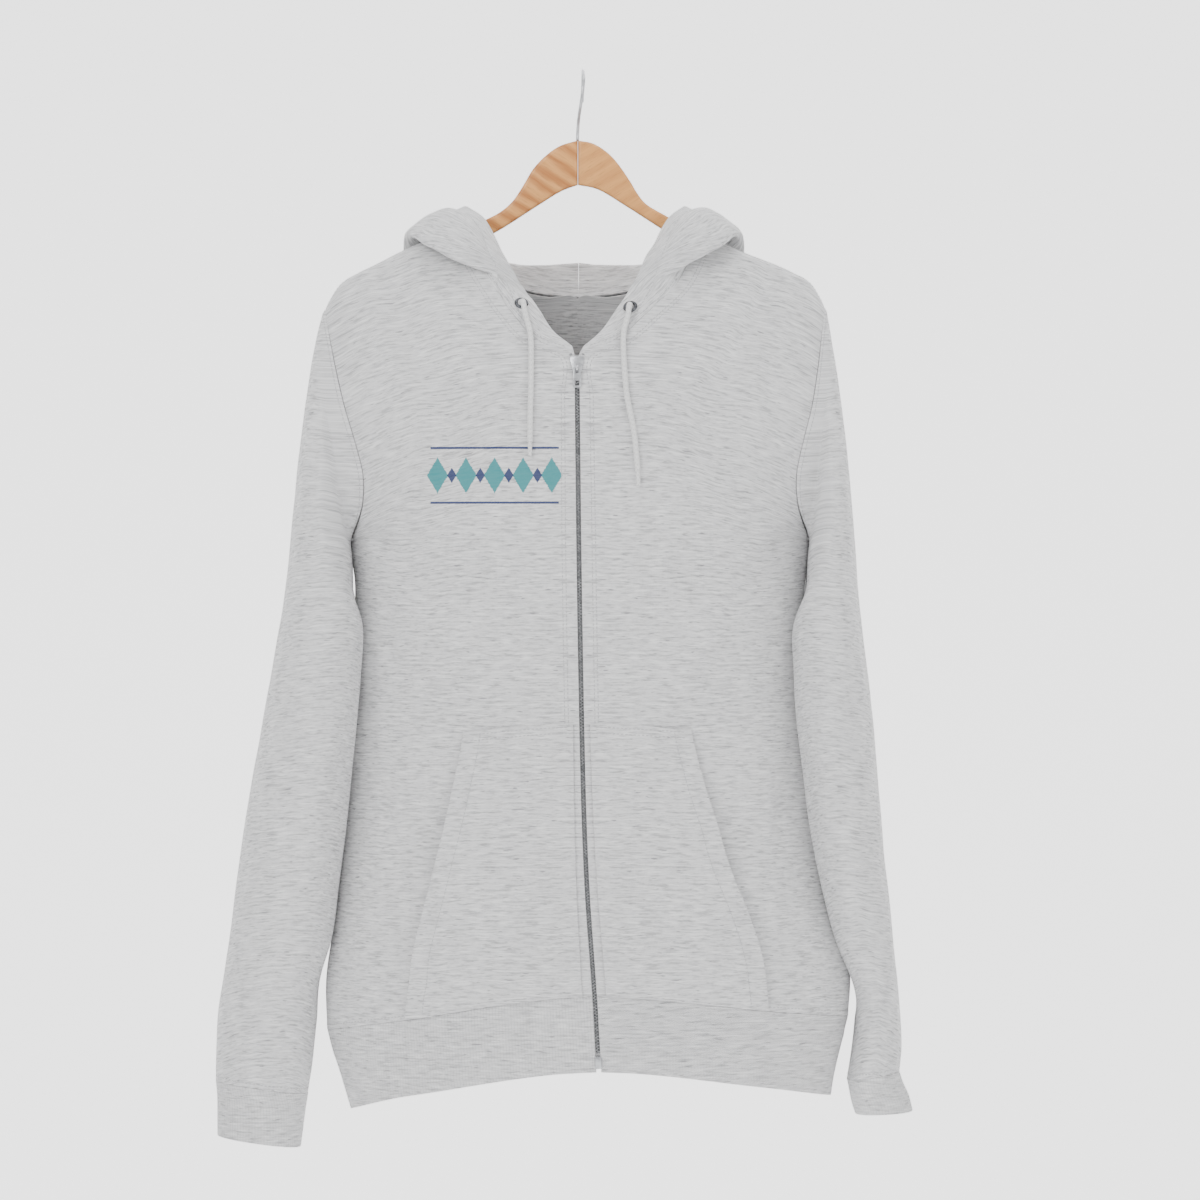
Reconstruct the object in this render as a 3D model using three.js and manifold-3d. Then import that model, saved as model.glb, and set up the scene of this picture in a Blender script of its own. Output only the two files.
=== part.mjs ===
// A zip-up hoodie hanging on a wooden hanger, in millimetres, +Z up.
// The origin is the inside top of the hook, and the garment's front faces -Y.
// Right and left are the wearer's: right lies at -X.
import * as THREE from 'three';
import { mergeVertices } from 'three/addons/utils/BufferGeometryUtils.js';
import Module from 'manifold-3d';

// Driving sizes
const clothThickness = 2;
const ribThickness = 2.4;
const tapeThickness = 1;
const seamGap = 0.3;
const turnedSeamGap = 0.45;
const neckMiddleX = -4;
const roundness = 2.3;
const ridgeReach = 170;
const sideSeamY = 12;
const tuckReach = 16;
const settleReach = 120;
const zipTopZ = -243;
const underarmZ = -402;
const hemSeamZ = -782;
const hemBottomZ = -845;
const chainWidth = 3.6;
const chainProud = 0.5;
const cordDiameter = 4.7;
const eyeletRadius = 6.1;
const eyeletHole = 3.4;
const pocketTopZ = -553;
const pocketMouthGap = 9;
const hookWireRadius = 1.4;
const crookInside = 19;
const hangerThickness = 11;

// Counts of steps
const armholeSteps = 11;
const zipTopStep = 5;
const bodySteps = 11;
const pocketRows = 6;
const pocketColumn = 5;
const frontColumns = 9;

const vec = (x, y, z) => new THREE.Vector3(x, y, z);
const { lerp } = THREE.MathUtils;

function table(names, rows) {
  const columns = names.split(' ');
  return rows.map((row) => Object.fromEntries(row.map((value, i) => [columns[i], value])));
}

// A smooth curve through one column of a table, held level past its ends
function through(rows, along, name) {
  const at = rows.map((row) => row[along]);
  const value = rows.map((row) => row[name]);
  const last = at.length - 1;
  const slope = at.map((_, i) => {
    const before = Math.max(i - 1, 0);
    const after = Math.min(i + 1, last);
    return (value[after] - value[before]) / (at[after] - at[before]);
  });
  return (where) => {
    if (where <= at[0]) return value[0];
    if (where >= at[last]) return value[last];
    const i = at.findIndex((_, k) => where < at[k + 1]);
    const step = at[i + 1] - at[i];
    const t = (where - at[i]) / step;
    const a = value[i] * (1 + 2 * t) * (1 - t) ** 2 + slope[i] * step * t * (1 - t) ** 2;
    return a + value[i + 1] * t * t * (3 - 2 * t) + slope[i + 1] * step * t * t * (t - 1);
  };
}

// The body's sections, from the hem up
const bodySections = table('z rightX leftX front back tuck', [
  [-885, -200, 212, 86, 82, 4],
  [-850, -211, 218, 91, 85, 6],
  [-815, -222, 227, 97, 88, 9],
  [-777, -224, 234, 101, 89, 14],
  [-740, -219, 226, 104, 89, 20],
  [-700, -214, 213, 106, 89, 24],
  [-600, -206, 204, 103, 87, 26],
  [-500, -201, 194, 96, 83, 18],
  [-402, -200, 196, 88, 79, 0],
  [-300, -240, 234, 79, 71, 0],
  [-213, -262, 250, 67, 60, 0],
  [-130, -275, 262, 50, 46, 0],
]);
const bodyAt = Object.fromEntries(['rightX', 'leftX', 'front', 'back', 'tuck'].map(
  (name) => [name, through(bodySections, 'z', name)],
));

// The zip's line down the front
const zipLine = table('z x', [
  [-845, 13.5], [-773, 9.5], [-705, 4.5], [-620, 0.8], [-450, -2.6], [-243, -5],
]);
const zipX = through(zipLine, 'z', 'x');

// The top line of each shoulder, measured out from the neck
const shoulderLines = {
  right: table('out z', [
    [0, -92], [60, -108], [100, -131], [143, -148], [175, -164],
    [191, -172], [204, -181], [212, -190], [217, -202],
  ]),
  left: table('out z', [
    [0, -92], [60, -110], [102, -134], [142, -153], [168, -163],
    [185, -171], [198, -179], [206, -188], [211, -200],
  ]),
};
const ridgeZ = {
  right: through(shoulderLines.right, 'out', 'z'),
  left: through(shoulderLines.left, 'out', 'z'),
};
const sides = {
  right: { sign: -1, wallX: 'rightX', tip: vec(-221, 0, -202) },
  left: { sign: 1, wallX: 'leftX', tip: vec(207, 0, -200) },
};

// Large soft folds, each a trough or ridge between two places on the front or back
const folds = table('face x0 z0 x1 z1 width depth', [
  ['front', -103, -560, -128, -735, 13, 4],
  ['front', 92, -560, 138, -735, 13, 4],
  ['front', -150, -400, -165, -640, 18, 3],
  ['front', 145, -420, 160, -640, 18, 3],
  ['front', -60, -800, -120, -700, 16, 2.5],
  ['back', -95, -330, -120, -720, 24, 5],
  ['back', 88, -350, 125, -740, 24, 5],
  ['back', -10, -480, 12, -770, 20, 3.5],
]);
function foldDepth(face, x, z) {
  let depth = 0;
  for (const fold of folds.filter((row) => row.face === face)) {
    const dx = fold.x1 - fold.x0;
    const dz = fold.z1 - fold.z0;
    const along = ((x - fold.x0) * dx + (z - fold.z0) * dz) / (dx * dx + dz * dz);
    const nearest = Math.min(Math.max(along, 0), 1);
    const far = Math.hypot(x - fold.x0 - nearest * dx, z - fold.z0 - nearest * dz);
    depth += fold.depth * Math.exp(-((far / fold.width) ** 2));
  }
  return depth;
}

// The body's front and back depth at a place in the front view
function bodyY(face, x, z) {
  const name = x < zipX(z) ? 'right' : 'left';
  const side = sides[name];
  const middle = zipX(z);
  const reach = Math.min(Math.abs((x - middle) / (bodyAt[side.wallX](z) - middle)), 1);
  const round = (1 - reach ** roundness) ** (1 / roundness);
  const below = Math.min(Math.max(ridgeZ[name](Math.abs(x - neckMiddleX)) - z, 0) / ridgeReach, 1);
  const dome = Math.sqrt(1 - (1 - below) ** 2);
  const settle = z < underarmZ ? 1 : Math.max(0, 1 - (z - underarmZ) / settleReach);
  const seam = sideSeamY * settle;
  const deep = bodyAt[face](z);
  const fold = foldDepth(face, x, z) * round * dome;
  if (face === 'front') return seam * dome - ((deep + seam) * dome * round - fold);
  return seam * dome + (deep - seam) * dome * round - fold;
}

function bodyPoint(face, x, z) {
  const y = bodyY(face, x, z);
  const nearSeam = Math.exp(-(((y - sideSeamY) / tuckReach) ** 2));
  const tuck = bodyAt.tuck(z) * nearSeam;
  return vec(x - Math.sign(x) * tuck, y, z);
}

// Rows of the body: the lower ones go round to the side seam, the upper ones end at the armhole
const rise = (s) => (1 - Math.cos(Math.PI * s)) / 2;
const smooth = (t) => t * t * (3 - 2 * t);

// The armhole leaves the side seam at the underarm, comes forward or back, and rises to the shoulder tip
const armholeTurn = 0.66;
const armholeSoftness = 2.2;
function armholePoint(sideName, s) {
  const side = sides[sideName];
  const reachAt = (part, z) => {
    const turn = armholeTurn * Math.sin(Math.min(1, part * armholeSoftness) * (Math.PI / 2));
    return lerp(zipX(z), bodyAt[side.wallX](z), Math.cos(turn) ** (2 / roundness));
  };
  const z = lerp(underarmZ, side.tip.z, rise(s));
  return { x: reachAt(s, z) + (side.tip.x - reachAt(1, side.tip.z)) * s * s, z };
}

const necklines = {
  right: table('t x z', [
    [0, -7.6, -243], [0.2, -32, -235], [0.4, -52, -217], [0.6, -72, -190], [0.8, -91, -158], [1, -104, -131],
  ]),
  left: table('t x z', [
    [0, -2.4, -243], [0.2, 22, -235], [0.4, 44, -214], [0.6, 66, -198], [0.8, 88, -168], [1, 98, -134],
  ]),
};
const backNeckZ = -190;

function frontCentre(sideName, s) {
  const side = sides[sideName];
  const split = zipTopStep / armholeSteps;
  if (s <= split) {
    const z = lerp(underarmZ, zipTopZ, s / split);
    return { x: zipX(z) + side.sign * (chainWidth / 2 + seamGap), z };
  }
  const t = Math.sin((Math.PI / 2) * ((s - split) / (1 - split)));
  const line = necklines[sideName];
  return { x: through(line, 't', 'x')(t), z: through(line, 't', 'z')(t) };
}

function backCentre(sideName, s) {
  const split = zipTopStep / armholeSteps;
  if (s <= split) {
    const z = lerp(underarmZ, backNeckZ, s / split);
    return { x: zipX(z), z };
  }
  const t = (s - split) / (1 - split);
  const neck = necklines[sideName][5];
  const middle = zipX(backNeckZ);
  return {
    x: lerp(middle, neck.x, Math.sin((Math.PI / 2) * t)),
    z: lerp(backNeckZ, neck.z, 1 - Math.cos((Math.PI / 2) * t) ** 0.8),
  };
}

// Where the hem line lies at the sides, lower than at the zip
const hemDrop = { right: 34, left: 22 };

// A point of the wall that goes round to the side seam, at part u of the way from the centre line
function wallPoint(face, sideName, u, centreZ, drop) {
  const side = sides[sideName];
  const across = Math.sin((u * Math.PI) / 2) ** (2 / roundness);
  const z = centreZ - drop * across * across;
  const middle = zipX(z);
  const centre = face === 'front' ? middle + side.sign * (chainWidth / 2 + seamGap) : middle;
  const wall = bodyAt[side.wallX](z);
  const share = face === 'front' ? pocketWarp(sideName, u, across, z, centre, wall) : across;
  return bodyPoint(face, lerp(centre, wall, share), z);
}

function bodyRow(face, sideName, row, columns) {
  const side = sides[sideName];
  const points = [];
  const s = Math.max(row - bodySteps, 0) / armholeSteps;
  const low = Math.min(row / bodySteps, 1);
  const centreZ = row < pocketRows
    ? lerp(hemSeamZ + 1, pocketTopZ, row / pocketRows)
    : lerp(pocketTopZ, underarmZ, (row - pocketRows) / (bodySteps - pocketRows));
  for (let i = 0; i <= columns; i += 1) {
    const u = i / columns;
    if (row < bodySteps) {
      points.push(wallPoint(face, sideName, u, centreZ, hemDrop[sideName] * (1 - low) ** 1.4));
    } else {
      const centre = face === 'front' ? frontCentre(sideName, s) : backCentre(sideName, s);
      const end = armholePoint(sideName, s);
      const wide = lerp(Math.sin((u * Math.PI) / 2) ** (2 / roundness), u, Math.min(1, s * 3));
      const x = lerp(centre.x, end.x, wide);
      const neck = necklines[sideName][5];
      const topX = lerp(neck.x, side.tip.x, wide);
      const arch = ridgeZ[sideName](Math.abs(topX - neckMiddleX)) - lerp(neck.z, side.tip.z, wide);
      const crown = ridgeZ[sideName](Math.abs(x - neckMiddleX));
      const z = s === 1 ? crown : Math.min(lerp(centre.z, end.z, wide) + rise(s) * arch, crown - 0.2);
      points.push(s === 1 ? vec(x, 0, z) : bodyPoint(face, x, z));
    }
  }
  return points;
}

// The pocket mouth runs down and out from its top corner, and a column of the panel follows it
const pocketMouths = {
  right: table('z x', [[-900, -158], [-782, -146], [-747, -139], [-654, -116], [-553, -99], [-402, -92]]),
  left: table('z x', [[-900, 168], [-782, 154], [-747, 147], [-654, 114], [-553, 90], [-402, 84]]),
};
function pocketWarp(sideName, u, across, z, centre, wall) {
  const mouthX = through(pocketMouths[sideName], 'z', 'x')(z);
  const atMouth = (mouthX - centre) / (wall - centre);
  const turn = pocketColumn / frontColumns;
  const straight = u < turn
    ? (u / turn) * atMouth
    : atMouth + (1 - atMouth) * Math.sin(((u - turn) / (1 - turn)) * (Math.PI / 2)) ** (2 / roundness);
  const fade = Math.min(Math.max((z - pocketTopZ) / (underarmZ - pocketTopZ), 0), 1);
  return lerp(straight, across, smooth(fade));
}

// A sheet of cloth: grids of points joined where they meet, then given a thickness
class Sheet {
  constructor() {
    this.points = [];
    this.faces = [];
    this.index = new Map();
    this.fixed = new Map();
  }

  vertex(point) {
    const key = [point.x, point.y, point.z].map((value) => Math.round(value * 200)).join();
    if (!this.index.has(key)) {
      this.index.set(key, this.points.length);
      this.points.push(point.clone());
    }
    return this.index.get(key);
  }

  grid(rows, flip = false, closed = false) {
    for (let i = 0; i + 1 < rows.length; i += 1) {
      const count = rows[i].length;
      for (let j = 0; j < (closed ? count : count - 1); j += 1) {
        const k = (j + 1) % count;
        const corners = [rows[i][j], rows[i][k], rows[i + 1][k], rows[i + 1][j]];
        const [a, b, c, d] = corners.map((point) => this.vertex(point));
        this.face(a, b, c, flip);
        this.face(a, c, d, flip);
      }
    }
    return this;
  }

  face(a, b, c, flip) {
    if (a === b || b === c || c === a) return;
    this.faces.push(flip ? [a, c, b] : [a, b, c]);
  }

  fix(point, normal) {
    this.fixed.set(this.vertex(point), normal.clone().normalize());
  }

  normals() {
    const sums = this.points.map(() => vec(0, 0, 0));
    for (const [a, b, c] of this.faces) {
      const side = this.points[b].clone().sub(this.points[a]);
      const cross = side.cross(this.points[c].clone().sub(this.points[a]));
      [a, b, c].forEach((i) => sums[i].add(cross));
    }
    return sums.map((sum, i) => this.fixed.get(i) ?? sum.normalize());
  }

  normalAt(point) {
    this.known ??= this.normals();
    return this.known[this.vertex(point)];
  }

  // The wall between the sheet and its copy moved in by the thickness, closed all round its edges
  thicken(thickness) {
    const normals = this.normals();
    const count = this.points.length;
    const inner = this.points.map((point, i) => point.clone().addScaledVector(normals[i], -thickness));
    const faces = [...this.faces];
    const edges = new Set();
    this.faces.forEach(([a, b, c]) => {
      [[a, b], [b, c], [c, a]].forEach(([from, to]) => edges.add(`${from},${to}`));
      faces.push([a + count, c + count, b + count]);
    });
    for (const edge of edges) {
      const [from, to] = edge.split(',').map(Number);
      if (!edges.has(`${to},${from}`)) {
        faces.push([to, from, from + count]);
        faces.push([to, from + count, to + count]);
      }
    }
    return solid([...this.points, ...inner], faces);
  }
}

function solid(points, faces) {
  const geometry = new THREE.BufferGeometry();
  geometry.setAttribute('position', new THREE.Float32BufferAttribute(points.flatMap((p) => p.toArray()), 3));
  geometry.setIndex(faces.flat());
  return geometry;
}

const group = new THREE.Group();
function add(name, geometry, material) {
  const mesh = new THREE.Mesh(geometry, material.clone());
  mesh.name = name;
  group.add(mesh);
  return mesh;
}

function finish(color, roughness, metalness = 0) {
  return new THREE.MeshStandardMaterial({ color, roughness, metalness });
}
const heather = finish(0xd3d4d6, 0.95);
const rib = finish(0xc9cacd, 0.95);
const tape = finish(0xbfc1c4, 0.9);
const steel = finish(0xb9bcc0, 0.3, 1);
const darkMetal = finish(0x55585c, 0.4, 1);
const cordWhite = finish(0xe3e3e2, 0.9);
const wood = finish(0xd79a57, 0.5);

// Body panels
const rowCount = bodySteps + armholeSteps;
const rowsOf = (face, sideName, columns) => Array.from(
  { length: rowCount + 1 },
  (_, row) => bodyRow(face, sideName, row, columns),
);
function moveFromSeam(rows, face) {
  const step = face === 'front' ? -seamGap / 2 : seamGap / 2;
  rows.forEach((row, i) => {
    if (i <= bodySteps) row[row.length - 1].y += step;
  });
  rows[rowCount].forEach((point) => { point.y += step; });
}
function fixSeamNormals(sheet, rows, sideName) {
  const { sign } = sides[sideName];
  rows.forEach((row, i) => {
    if (i <= bodySteps) sheet.fix(row[row.length - 1], vec(sign, 0, 0));
  });
  rows[rowCount].forEach((point, j) => {
    const top = rows[rowCount];
    const before = top[Math.max(j - 1, 0)];
    const after = top[Math.min(j + 1, top.length - 1)];
    const slope = (after.z - before.z) / (after.x - before.x);
    sheet.fix(point, vec(-slope, 0, 1));
  });
}

const body = {};
const backSheet = new Sheet();
for (const sideName of ['right', 'left']) {
  const front = rowsOf('front', sideName, frontColumns);
  const back = rowsOf('back', sideName, frontColumns - 1);
  moveFromSeam(front, 'front');
  moveFromSeam(back, 'back');
  body[sideName] = { front, back };
  const sheet = new Sheet().grid(front, sideName === 'right');
  fixSeamNormals(sheet, front, sideName);
  body[sideName].sheet = sheet;
  add(`front_${sideName}`, sheet.thicken(clothThickness), heather);
  backSheet.grid(back, sideName === 'left');
}
fixSeamNormals(backSheet, body.right.back, 'right');
fixSeamNormals(backSheet, body.left.back, 'left');
add('back', backSheet.thicken(clothThickness), heather);

const firstColumn = (rows, i) => rows[i][0];
const lastColumn = (rows, i) => rows[i][rows[i].length - 1];

// A new piece starts at a seam: its wall takes the neighbour's slope where it bends back over it
function startAtSeam(sheet, start, next, facing) {
  start.forEach((point, i) => {
    if (next[i].clone().sub(point).dot(facing[i]) < 0) sheet.fix(point, facing[i]);
  });
}

// The points of an edge moved off it, square to it and along the cloth, towards the opening's middle
function offEdge(rim, facing, distance, closed) {
  const middle = rim.reduce((sum, point) => sum.add(point), vec(0, 0, 0)).divideScalar(rim.length);
  const count = rim.length;
  return rim.map((point, i) => {
    const before = closed ? rim[(i + count - 1) % count] : rim[Math.max(i - 1, 0)];
    const after = closed ? rim[(i + 1) % count] : rim[Math.min(i + 1, count - 1)];
    const off = facing[i].clone().cross(after.clone().sub(before)).normalize();
    if (off.dot(middle.clone().sub(point)) < 0) off.negate();
    return point.clone().addScaledVector(off, distance);
  });
}

// Hem band: one rib strip from the zip, round the back, to the zip again
const hemSteps = 4;
const hemDropBelow = { right: 38, left: 26 };
const backHemLower = 9;
function hemRow(k) {
  const share = k / hemSteps;
  const part = (face, sideName, i) => {
    const columns = face === 'front' ? frontColumns : frontColumns - 1;
    const low = hemBottomZ - (face === 'back' ? backHemLower * Math.cos((i / columns) * (Math.PI / 2)) : 0);
    const drop = lerp(hemDrop[sideName], hemDropBelow[sideName], share);
    return wallPoint(face, sideName, i / columns, lerp(hemSeamZ + 1 - seamGap, low, share), drop);
  };
  const count = frontColumns;
  const list = [];
  for (let i = 0; i <= count; i += 1) list.push(part('front', 'right', i));
  for (let i = count - 2; i >= 0; i -= 1) list.push(part('back', 'right', i));
  for (let i = 1; i < count - 1; i += 1) list.push(part('back', 'left', i));
  for (let i = count; i >= 0; i -= 1) list.push(part('front', 'left', i));
  return list;
}
const hemRows = Array.from({ length: hemSteps + 1 }, (_, k) => hemRow(k));
const hemSheet = new Sheet().grid(hemRows, false);
const hemFirst = hemRows[0].length;
hemRows[0].forEach((point, i) => {
  const rightHalf = i < hemFirst / 2;
  const onFront = rightHalf ? i <= frontColumns : i >= hemFirst - 1 - frontColumns;
  const { front, back, sheet } = body[rightHalf ? 'right' : 'left'];
  const rows = onFront ? front : back;
  const owner = onFront ? sheet : backSheet;
  const nearest = rows[0].reduce((best, p) => (p.distanceTo(point) < best.distanceTo(point) ? p : best));
  hemSheet.fix(point, owner.normalAt(nearest));
});
add('hem_band', hemSheet.thicken(ribThickness), rib);

// Pockets: half a pouch on each front, sewn along the zip, top and hem, and open at the slant
const pocketInset = 0.35;
for (const sideName of ['right', 'left']) {
  const { front, sheet } = body[sideName];
  const rows = [];
  for (let i = 0; i <= pocketRows; i += 1) {
    const row = [];
    for (let j = 0; j <= pocketColumn; j += 1) {
      const normal = sheet.normalAt(front[i][j]);
      const bulge = pocketMouthGap * (j / pocketColumn) ** 2 * Math.sin((Math.PI * i) / pocketRows);
      const base = j === 0 ? front[i][0].clone().lerp(front[i][1], pocketInset) : front[i][j];
      row.push(base.clone().addScaledVector(normal, seamGap + clothThickness + bulge));
    }
    rows.push(row);
  }
  add(`pocket_${sideName}`, new Sheet().grid(rows, sideName === 'right').thicken(clothThickness), heather);
}

// Sleeves: rings from the armhole down, each from its outer edge, round the front, to its inner edge
const sleeveSections = {
  right: table('outerX outerZ innerX innerZ midY deep', [
    [-228, -230, -198, -408, 2, 50],
    [-234, -268, -197, -422, -3, 57],
    [-240, -318, -196, -445, -9, 65],
    [-246, -375, -187, -475, -15, 73],
    [-252, -435, -188, -510, -20, 78],
    [-261, -495, -191, -550, -24, 79],
    [-272, -555, -195, -592, -26, 77],
    [-283, -615, -200, -640, -26, 72],
    [-291, -670, -207, -690, -24, 66],
    [-298, -722, -213, -735, -20, 60],
    [-304, -765, -226, -775, -15, 55],
    [-310, -800, -227, -808, -12, 51],
    [-312, -832, -230, -842, -10, 47],
    [-312, -857, -234, -868, -10, 42],
  ]),
  left: table('outerX outerZ innerX innerZ midY deep', [
    [212, -228, 193, -408, 2, 50],
    [218, -266, 192, -422, -3, 57],
    [224, -316, 190, -445, -9, 65],
    [229, -374, 179, -475, -15, 73],
    [233, -434, 179, -510, -20, 78],
    [239, -495, 181, -550, -24, 79],
    [246, -555, 186, -592, -26, 76],
    [251, -615, 192, -640, -26, 71],
    [256, -668, 202, -690, -22, 66],
    [262, -720, 213, -735, -14, 60],
    [267, -765, 231, -778, -6, 55],
    [270, -800, 232, -808, -2, 51],
    [271, -830, 228, -838, 0, 46],
    [269, -850, 225, -857, 0, 41],
  ]),
};
const cuffSections = {
  right: table('outerX outerZ innerX innerZ midY deep', [
    [-311, -871, -236, -882, -10, 40],
    [-311, -888, -238, -899, -9, 39],
    [-311, -904, -240, -914, -8, 39],
  ]),
  left: table('outerX outerZ innerX innerZ midY deep', [
    [273, -861, 227, -868, 1, 39],
    [278, -872, 229, -878, 2, 39],
    [281, -884, 232, -887, 3, 38],
  ]),
};
const ringCount = armholeSteps * 2;
const bodyClearance = 2.4;
const wristGap = 0.35;

// Half the body's width where a sleeve hangs beside it
function bodyReach(sideName, y, z) {
  const middle = zipX(z);
  const deep = y < sideSeamY ? bodyAt.front(z) + sideSeamY : bodyAt.back(z) - sideSeamY;
  const off = Math.min(Math.abs(y - sideSeamY) / deep, 1);
  const across = (1 - off ** roundness) ** (1 / roundness);
  return Math.abs(lerp(middle, bodyAt[sides[sideName].wallX](z), across));
}

function ring(sideName, section) {
  const { sign } = sides[sideName];
  return Array.from({ length: ringCount }, (_, i) => {
    const angle = (2 * Math.PI * i) / ringCount;
    const power = (value) => Math.sign(value) * Math.abs(value) ** (2 / roundness);
    const toOuter = (1 + power(Math.cos(angle))) / 2;
    const x = lerp(section.innerX, section.outerX, toOuter);
    const z = lerp(section.innerZ, section.outerZ, toOuter);
    const y = section.midY - section.deep * power(Math.sin(angle));
    const least = z < underarmZ - 2 ? bodyReach(sideName, y, z) + bodyClearance : 0;
    return vec(sign * Math.max(Math.abs(x), least), y, z);
  });
}

const top = rowCount;
for (const sideName of ['right', 'left']) {
  const { front, back, sheet } = body[sideName];
  const borders = [];
  for (let i = top; i >= bodySteps; i -= 1) borders.push([front, i, sheet]);
  for (let i = bodySteps + 1; i < top; i += 1) borders.push([back, i, backSheet]);
  const rim = borders.map(([rows, i]) => lastColumn(rows, i));
  const facing = borders.map(([rows, i, owner]) => owner.normalAt(lastColumn(rows, i)));
  const start = offEdge(rim, facing, turnedSeamGap, true);
  start[0].y = 0;
  start[armholeSteps].y = sideSeamY;
  const rings = [start, ...sleeveSections[sideName].map((section) => ring(sideName, section))];
  const sleeve = new Sheet().grid(rings, sideName === 'right', true);
  startAtSeam(sleeve, start, rings[1], facing);
  add(`sleeve_${sideName}`, sleeve.thicken(clothThickness), heather);
  const wrist = rings[rings.length - 1];
  const cuffRings = cuffSections[sideName].map((section) => ring(sideName, section));
  const cuffTop = wrist.map((point, i) => {
    const down = cuffRings[0][i].clone().sub(point).normalize();
    return point.clone().addScaledVector(down, wristGap);
  });
  const cuff = new Sheet().grid([cuffTop, ...cuffRings], sideName === 'right', true);
  cuffTop.forEach((point, i) => cuff.fix(point, sleeve.normalAt(wrist[i])));
  add(`cuff_${sideName}`, cuff.thicken(ribThickness), rib);
}

// Hood, worn down: sections round the neck, from the zip to the nape, each from the seam to the face edge
const hoodSteps = 14;
const neckSteps = (armholeSteps - zipTopStep) * 2;
const hoodClearance = 4;
const bandSections = table('station edgeOut edgeZ lean', [
  [0, 5, -236, 1], [1, 20, -224, 3], [2, 33, -206, 5], [3, 46, -187, 7],
]);
const hoodSections = table(
  'station crestOut crestY crestZ fallOut fallY fallZ lowOut lowY lowZ turnOut turnY turnZ '
  + 'rearOut rearY rearZ topOut topY topZ edgeOut edgeY edgeZ',
  [
    [4, 94, -37, -152, 98, -42, -156, 103, -45, -163,
      103, -50, -161, 94, -51, -155,
      78, -50, -156, 58, -46, -166],
    [5, 103, -20, -134, 116, -26, -142, 127, -30, -150,
      130, -34, -147, 118, -35, -136,
      95, -32, -130, 68, -31, -147],
    [6, 109, 0, -126, 128, 3, -135, 143, 8, -143,
      148, 3, -139, 137, -4, -127,
      112, -8, -115, 79, -14, -127],
    [8, 96, 46, -150, 122, 68, -200, 132, 82, -250,
      138, 94, -250, 146, 84, -200,
      133, 54, -140, 98, 22, -114],
    [10, 54, 58, -164, 68, 78, -268, 76, 90, -348,
      80, 114, -350, 96, 122, -272,
      98, 118, -190, 86, 96, -150],
    [12, 0, 62, -162, 0, 80, -280, 0, 90, -390,
      0, 118, -394, 0, 136, -300,
      0, 140, -220, 0, 130, -184],
  ],
);
const hoodStops = ['crest', 'fall', 'low', 'turn', 'rear', 'top', 'edge'];
const hoodAt = Object.fromEntries(hoodStops.flatMap((stop) => ['Out', 'Y', 'Z'].map(
  (axis) => [stop + axis, through(hoodSections, 'station', stop + axis)],
)));
const hoodWidth = { right: 1, left: 0.95 };

// Keeps the hood's cloth off the body under it
function clearOfBody(point, sideName, behind) {
  const ridge = ridgeZ[sideName](Math.abs(point.x - neckMiddleX));
  if (point.z > ridge + hoodClearance) return point;
  const face = behind ? 'back' : 'front';
  const wallY = bodyY(face, point.x, Math.min(point.z, ridge));
  if (behind) point.y = Math.max(point.y, wallY + hoodClearance);
  else point.y = Math.min(point.y, wallY - hoodClearance);
  return point;
}

function hoodSection(sideName, station, seam) {
  const { sign } = sides[sideName];
  const wide = sign * hoodWidth[sideName];
  if (station <= 3) {
    const { edgeOut, edgeZ, lean } = bandSections[station];
    const x = neckMiddleX + edgeOut * wide;
    const edge = vec(x, Math.max(bodyY('front', x, edgeZ), seam.y - 4) + lean, edgeZ);
    return Array.from({ length: hoodSteps + 1 }, (_, i) => {
      const share = i / hoodSteps;
      const swell = Math.sin(Math.PI * share) * station;
      return seam.clone().lerp(edge, share).add(vec(0, -swell, 0));
    });
  }
  const stops = hoodStops.map((stop) => {
    const point = vec(
      neckMiddleX + hoodAt[`${stop}Out`](station) * wide,
      hoodAt[`${stop}Y`](station),
      hoodAt[`${stop}Z`](station),
    );
    const under = ['fall', 'low', 'turn'].includes(stop) && station !== 6;
    return under ? clearOfBody(point, sideName, station > 6) : point;
  });
  return new THREE.CatmullRomCurve3([seam, ...stops], false, 'centripetal').getPoints(hoodSteps);
}

const hood = {};
for (const sideName of ['right', 'left']) {
  const { front, back, sheet } = body[sideName];
  const firstRow = bodySteps + zipTopStep;
  const rim = [];
  const facing = [];
  for (let i = firstRow; i <= rowCount; i += 1) {
    rim.push(firstColumn(front, i));
    facing.push(sheet.normalAt(firstColumn(front, i)));
  }
  for (let i = rowCount - 1; i >= firstRow; i -= 1) {
    rim.push(firstColumn(back, i));
    facing.push(backSheet.normalAt(firstColumn(back, i)));
  }
  const seam = offEdge(rim, facing, turnedSeamGap, false);
  seam[0].copy(rim[0]).add(vec(0, 0, turnedSeamGap));
  seam[neckSteps / 2].y = 0;
  seam[neckSteps].x = neckMiddleX;
  seam[neckSteps].z = rim[neckSteps].z + turnedSeamGap;
  const stations = seam.map((point, station) => hoodSection(sideName, station, point));
  stations[neckSteps].forEach((point) => {
    point.x = neckMiddleX + (sides[sideName].sign * seamGap) / 2;
  });
  hood[sideName] = stations;
  const panel = new Sheet().grid(stations, sideName === 'left');
  startAtSeam(panel, seam, stations.map((points) => points[1]), facing);
  const own = panel.normals();
  stations[neckSteps].forEach((point) => {
    const normal = own[panel.vertex(point)].clone();
    normal.x = 0;
    panel.fix(point, normal);
  });
  add(`hood_${sideName}`, panel.thicken(clothThickness), heather);
}

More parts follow.
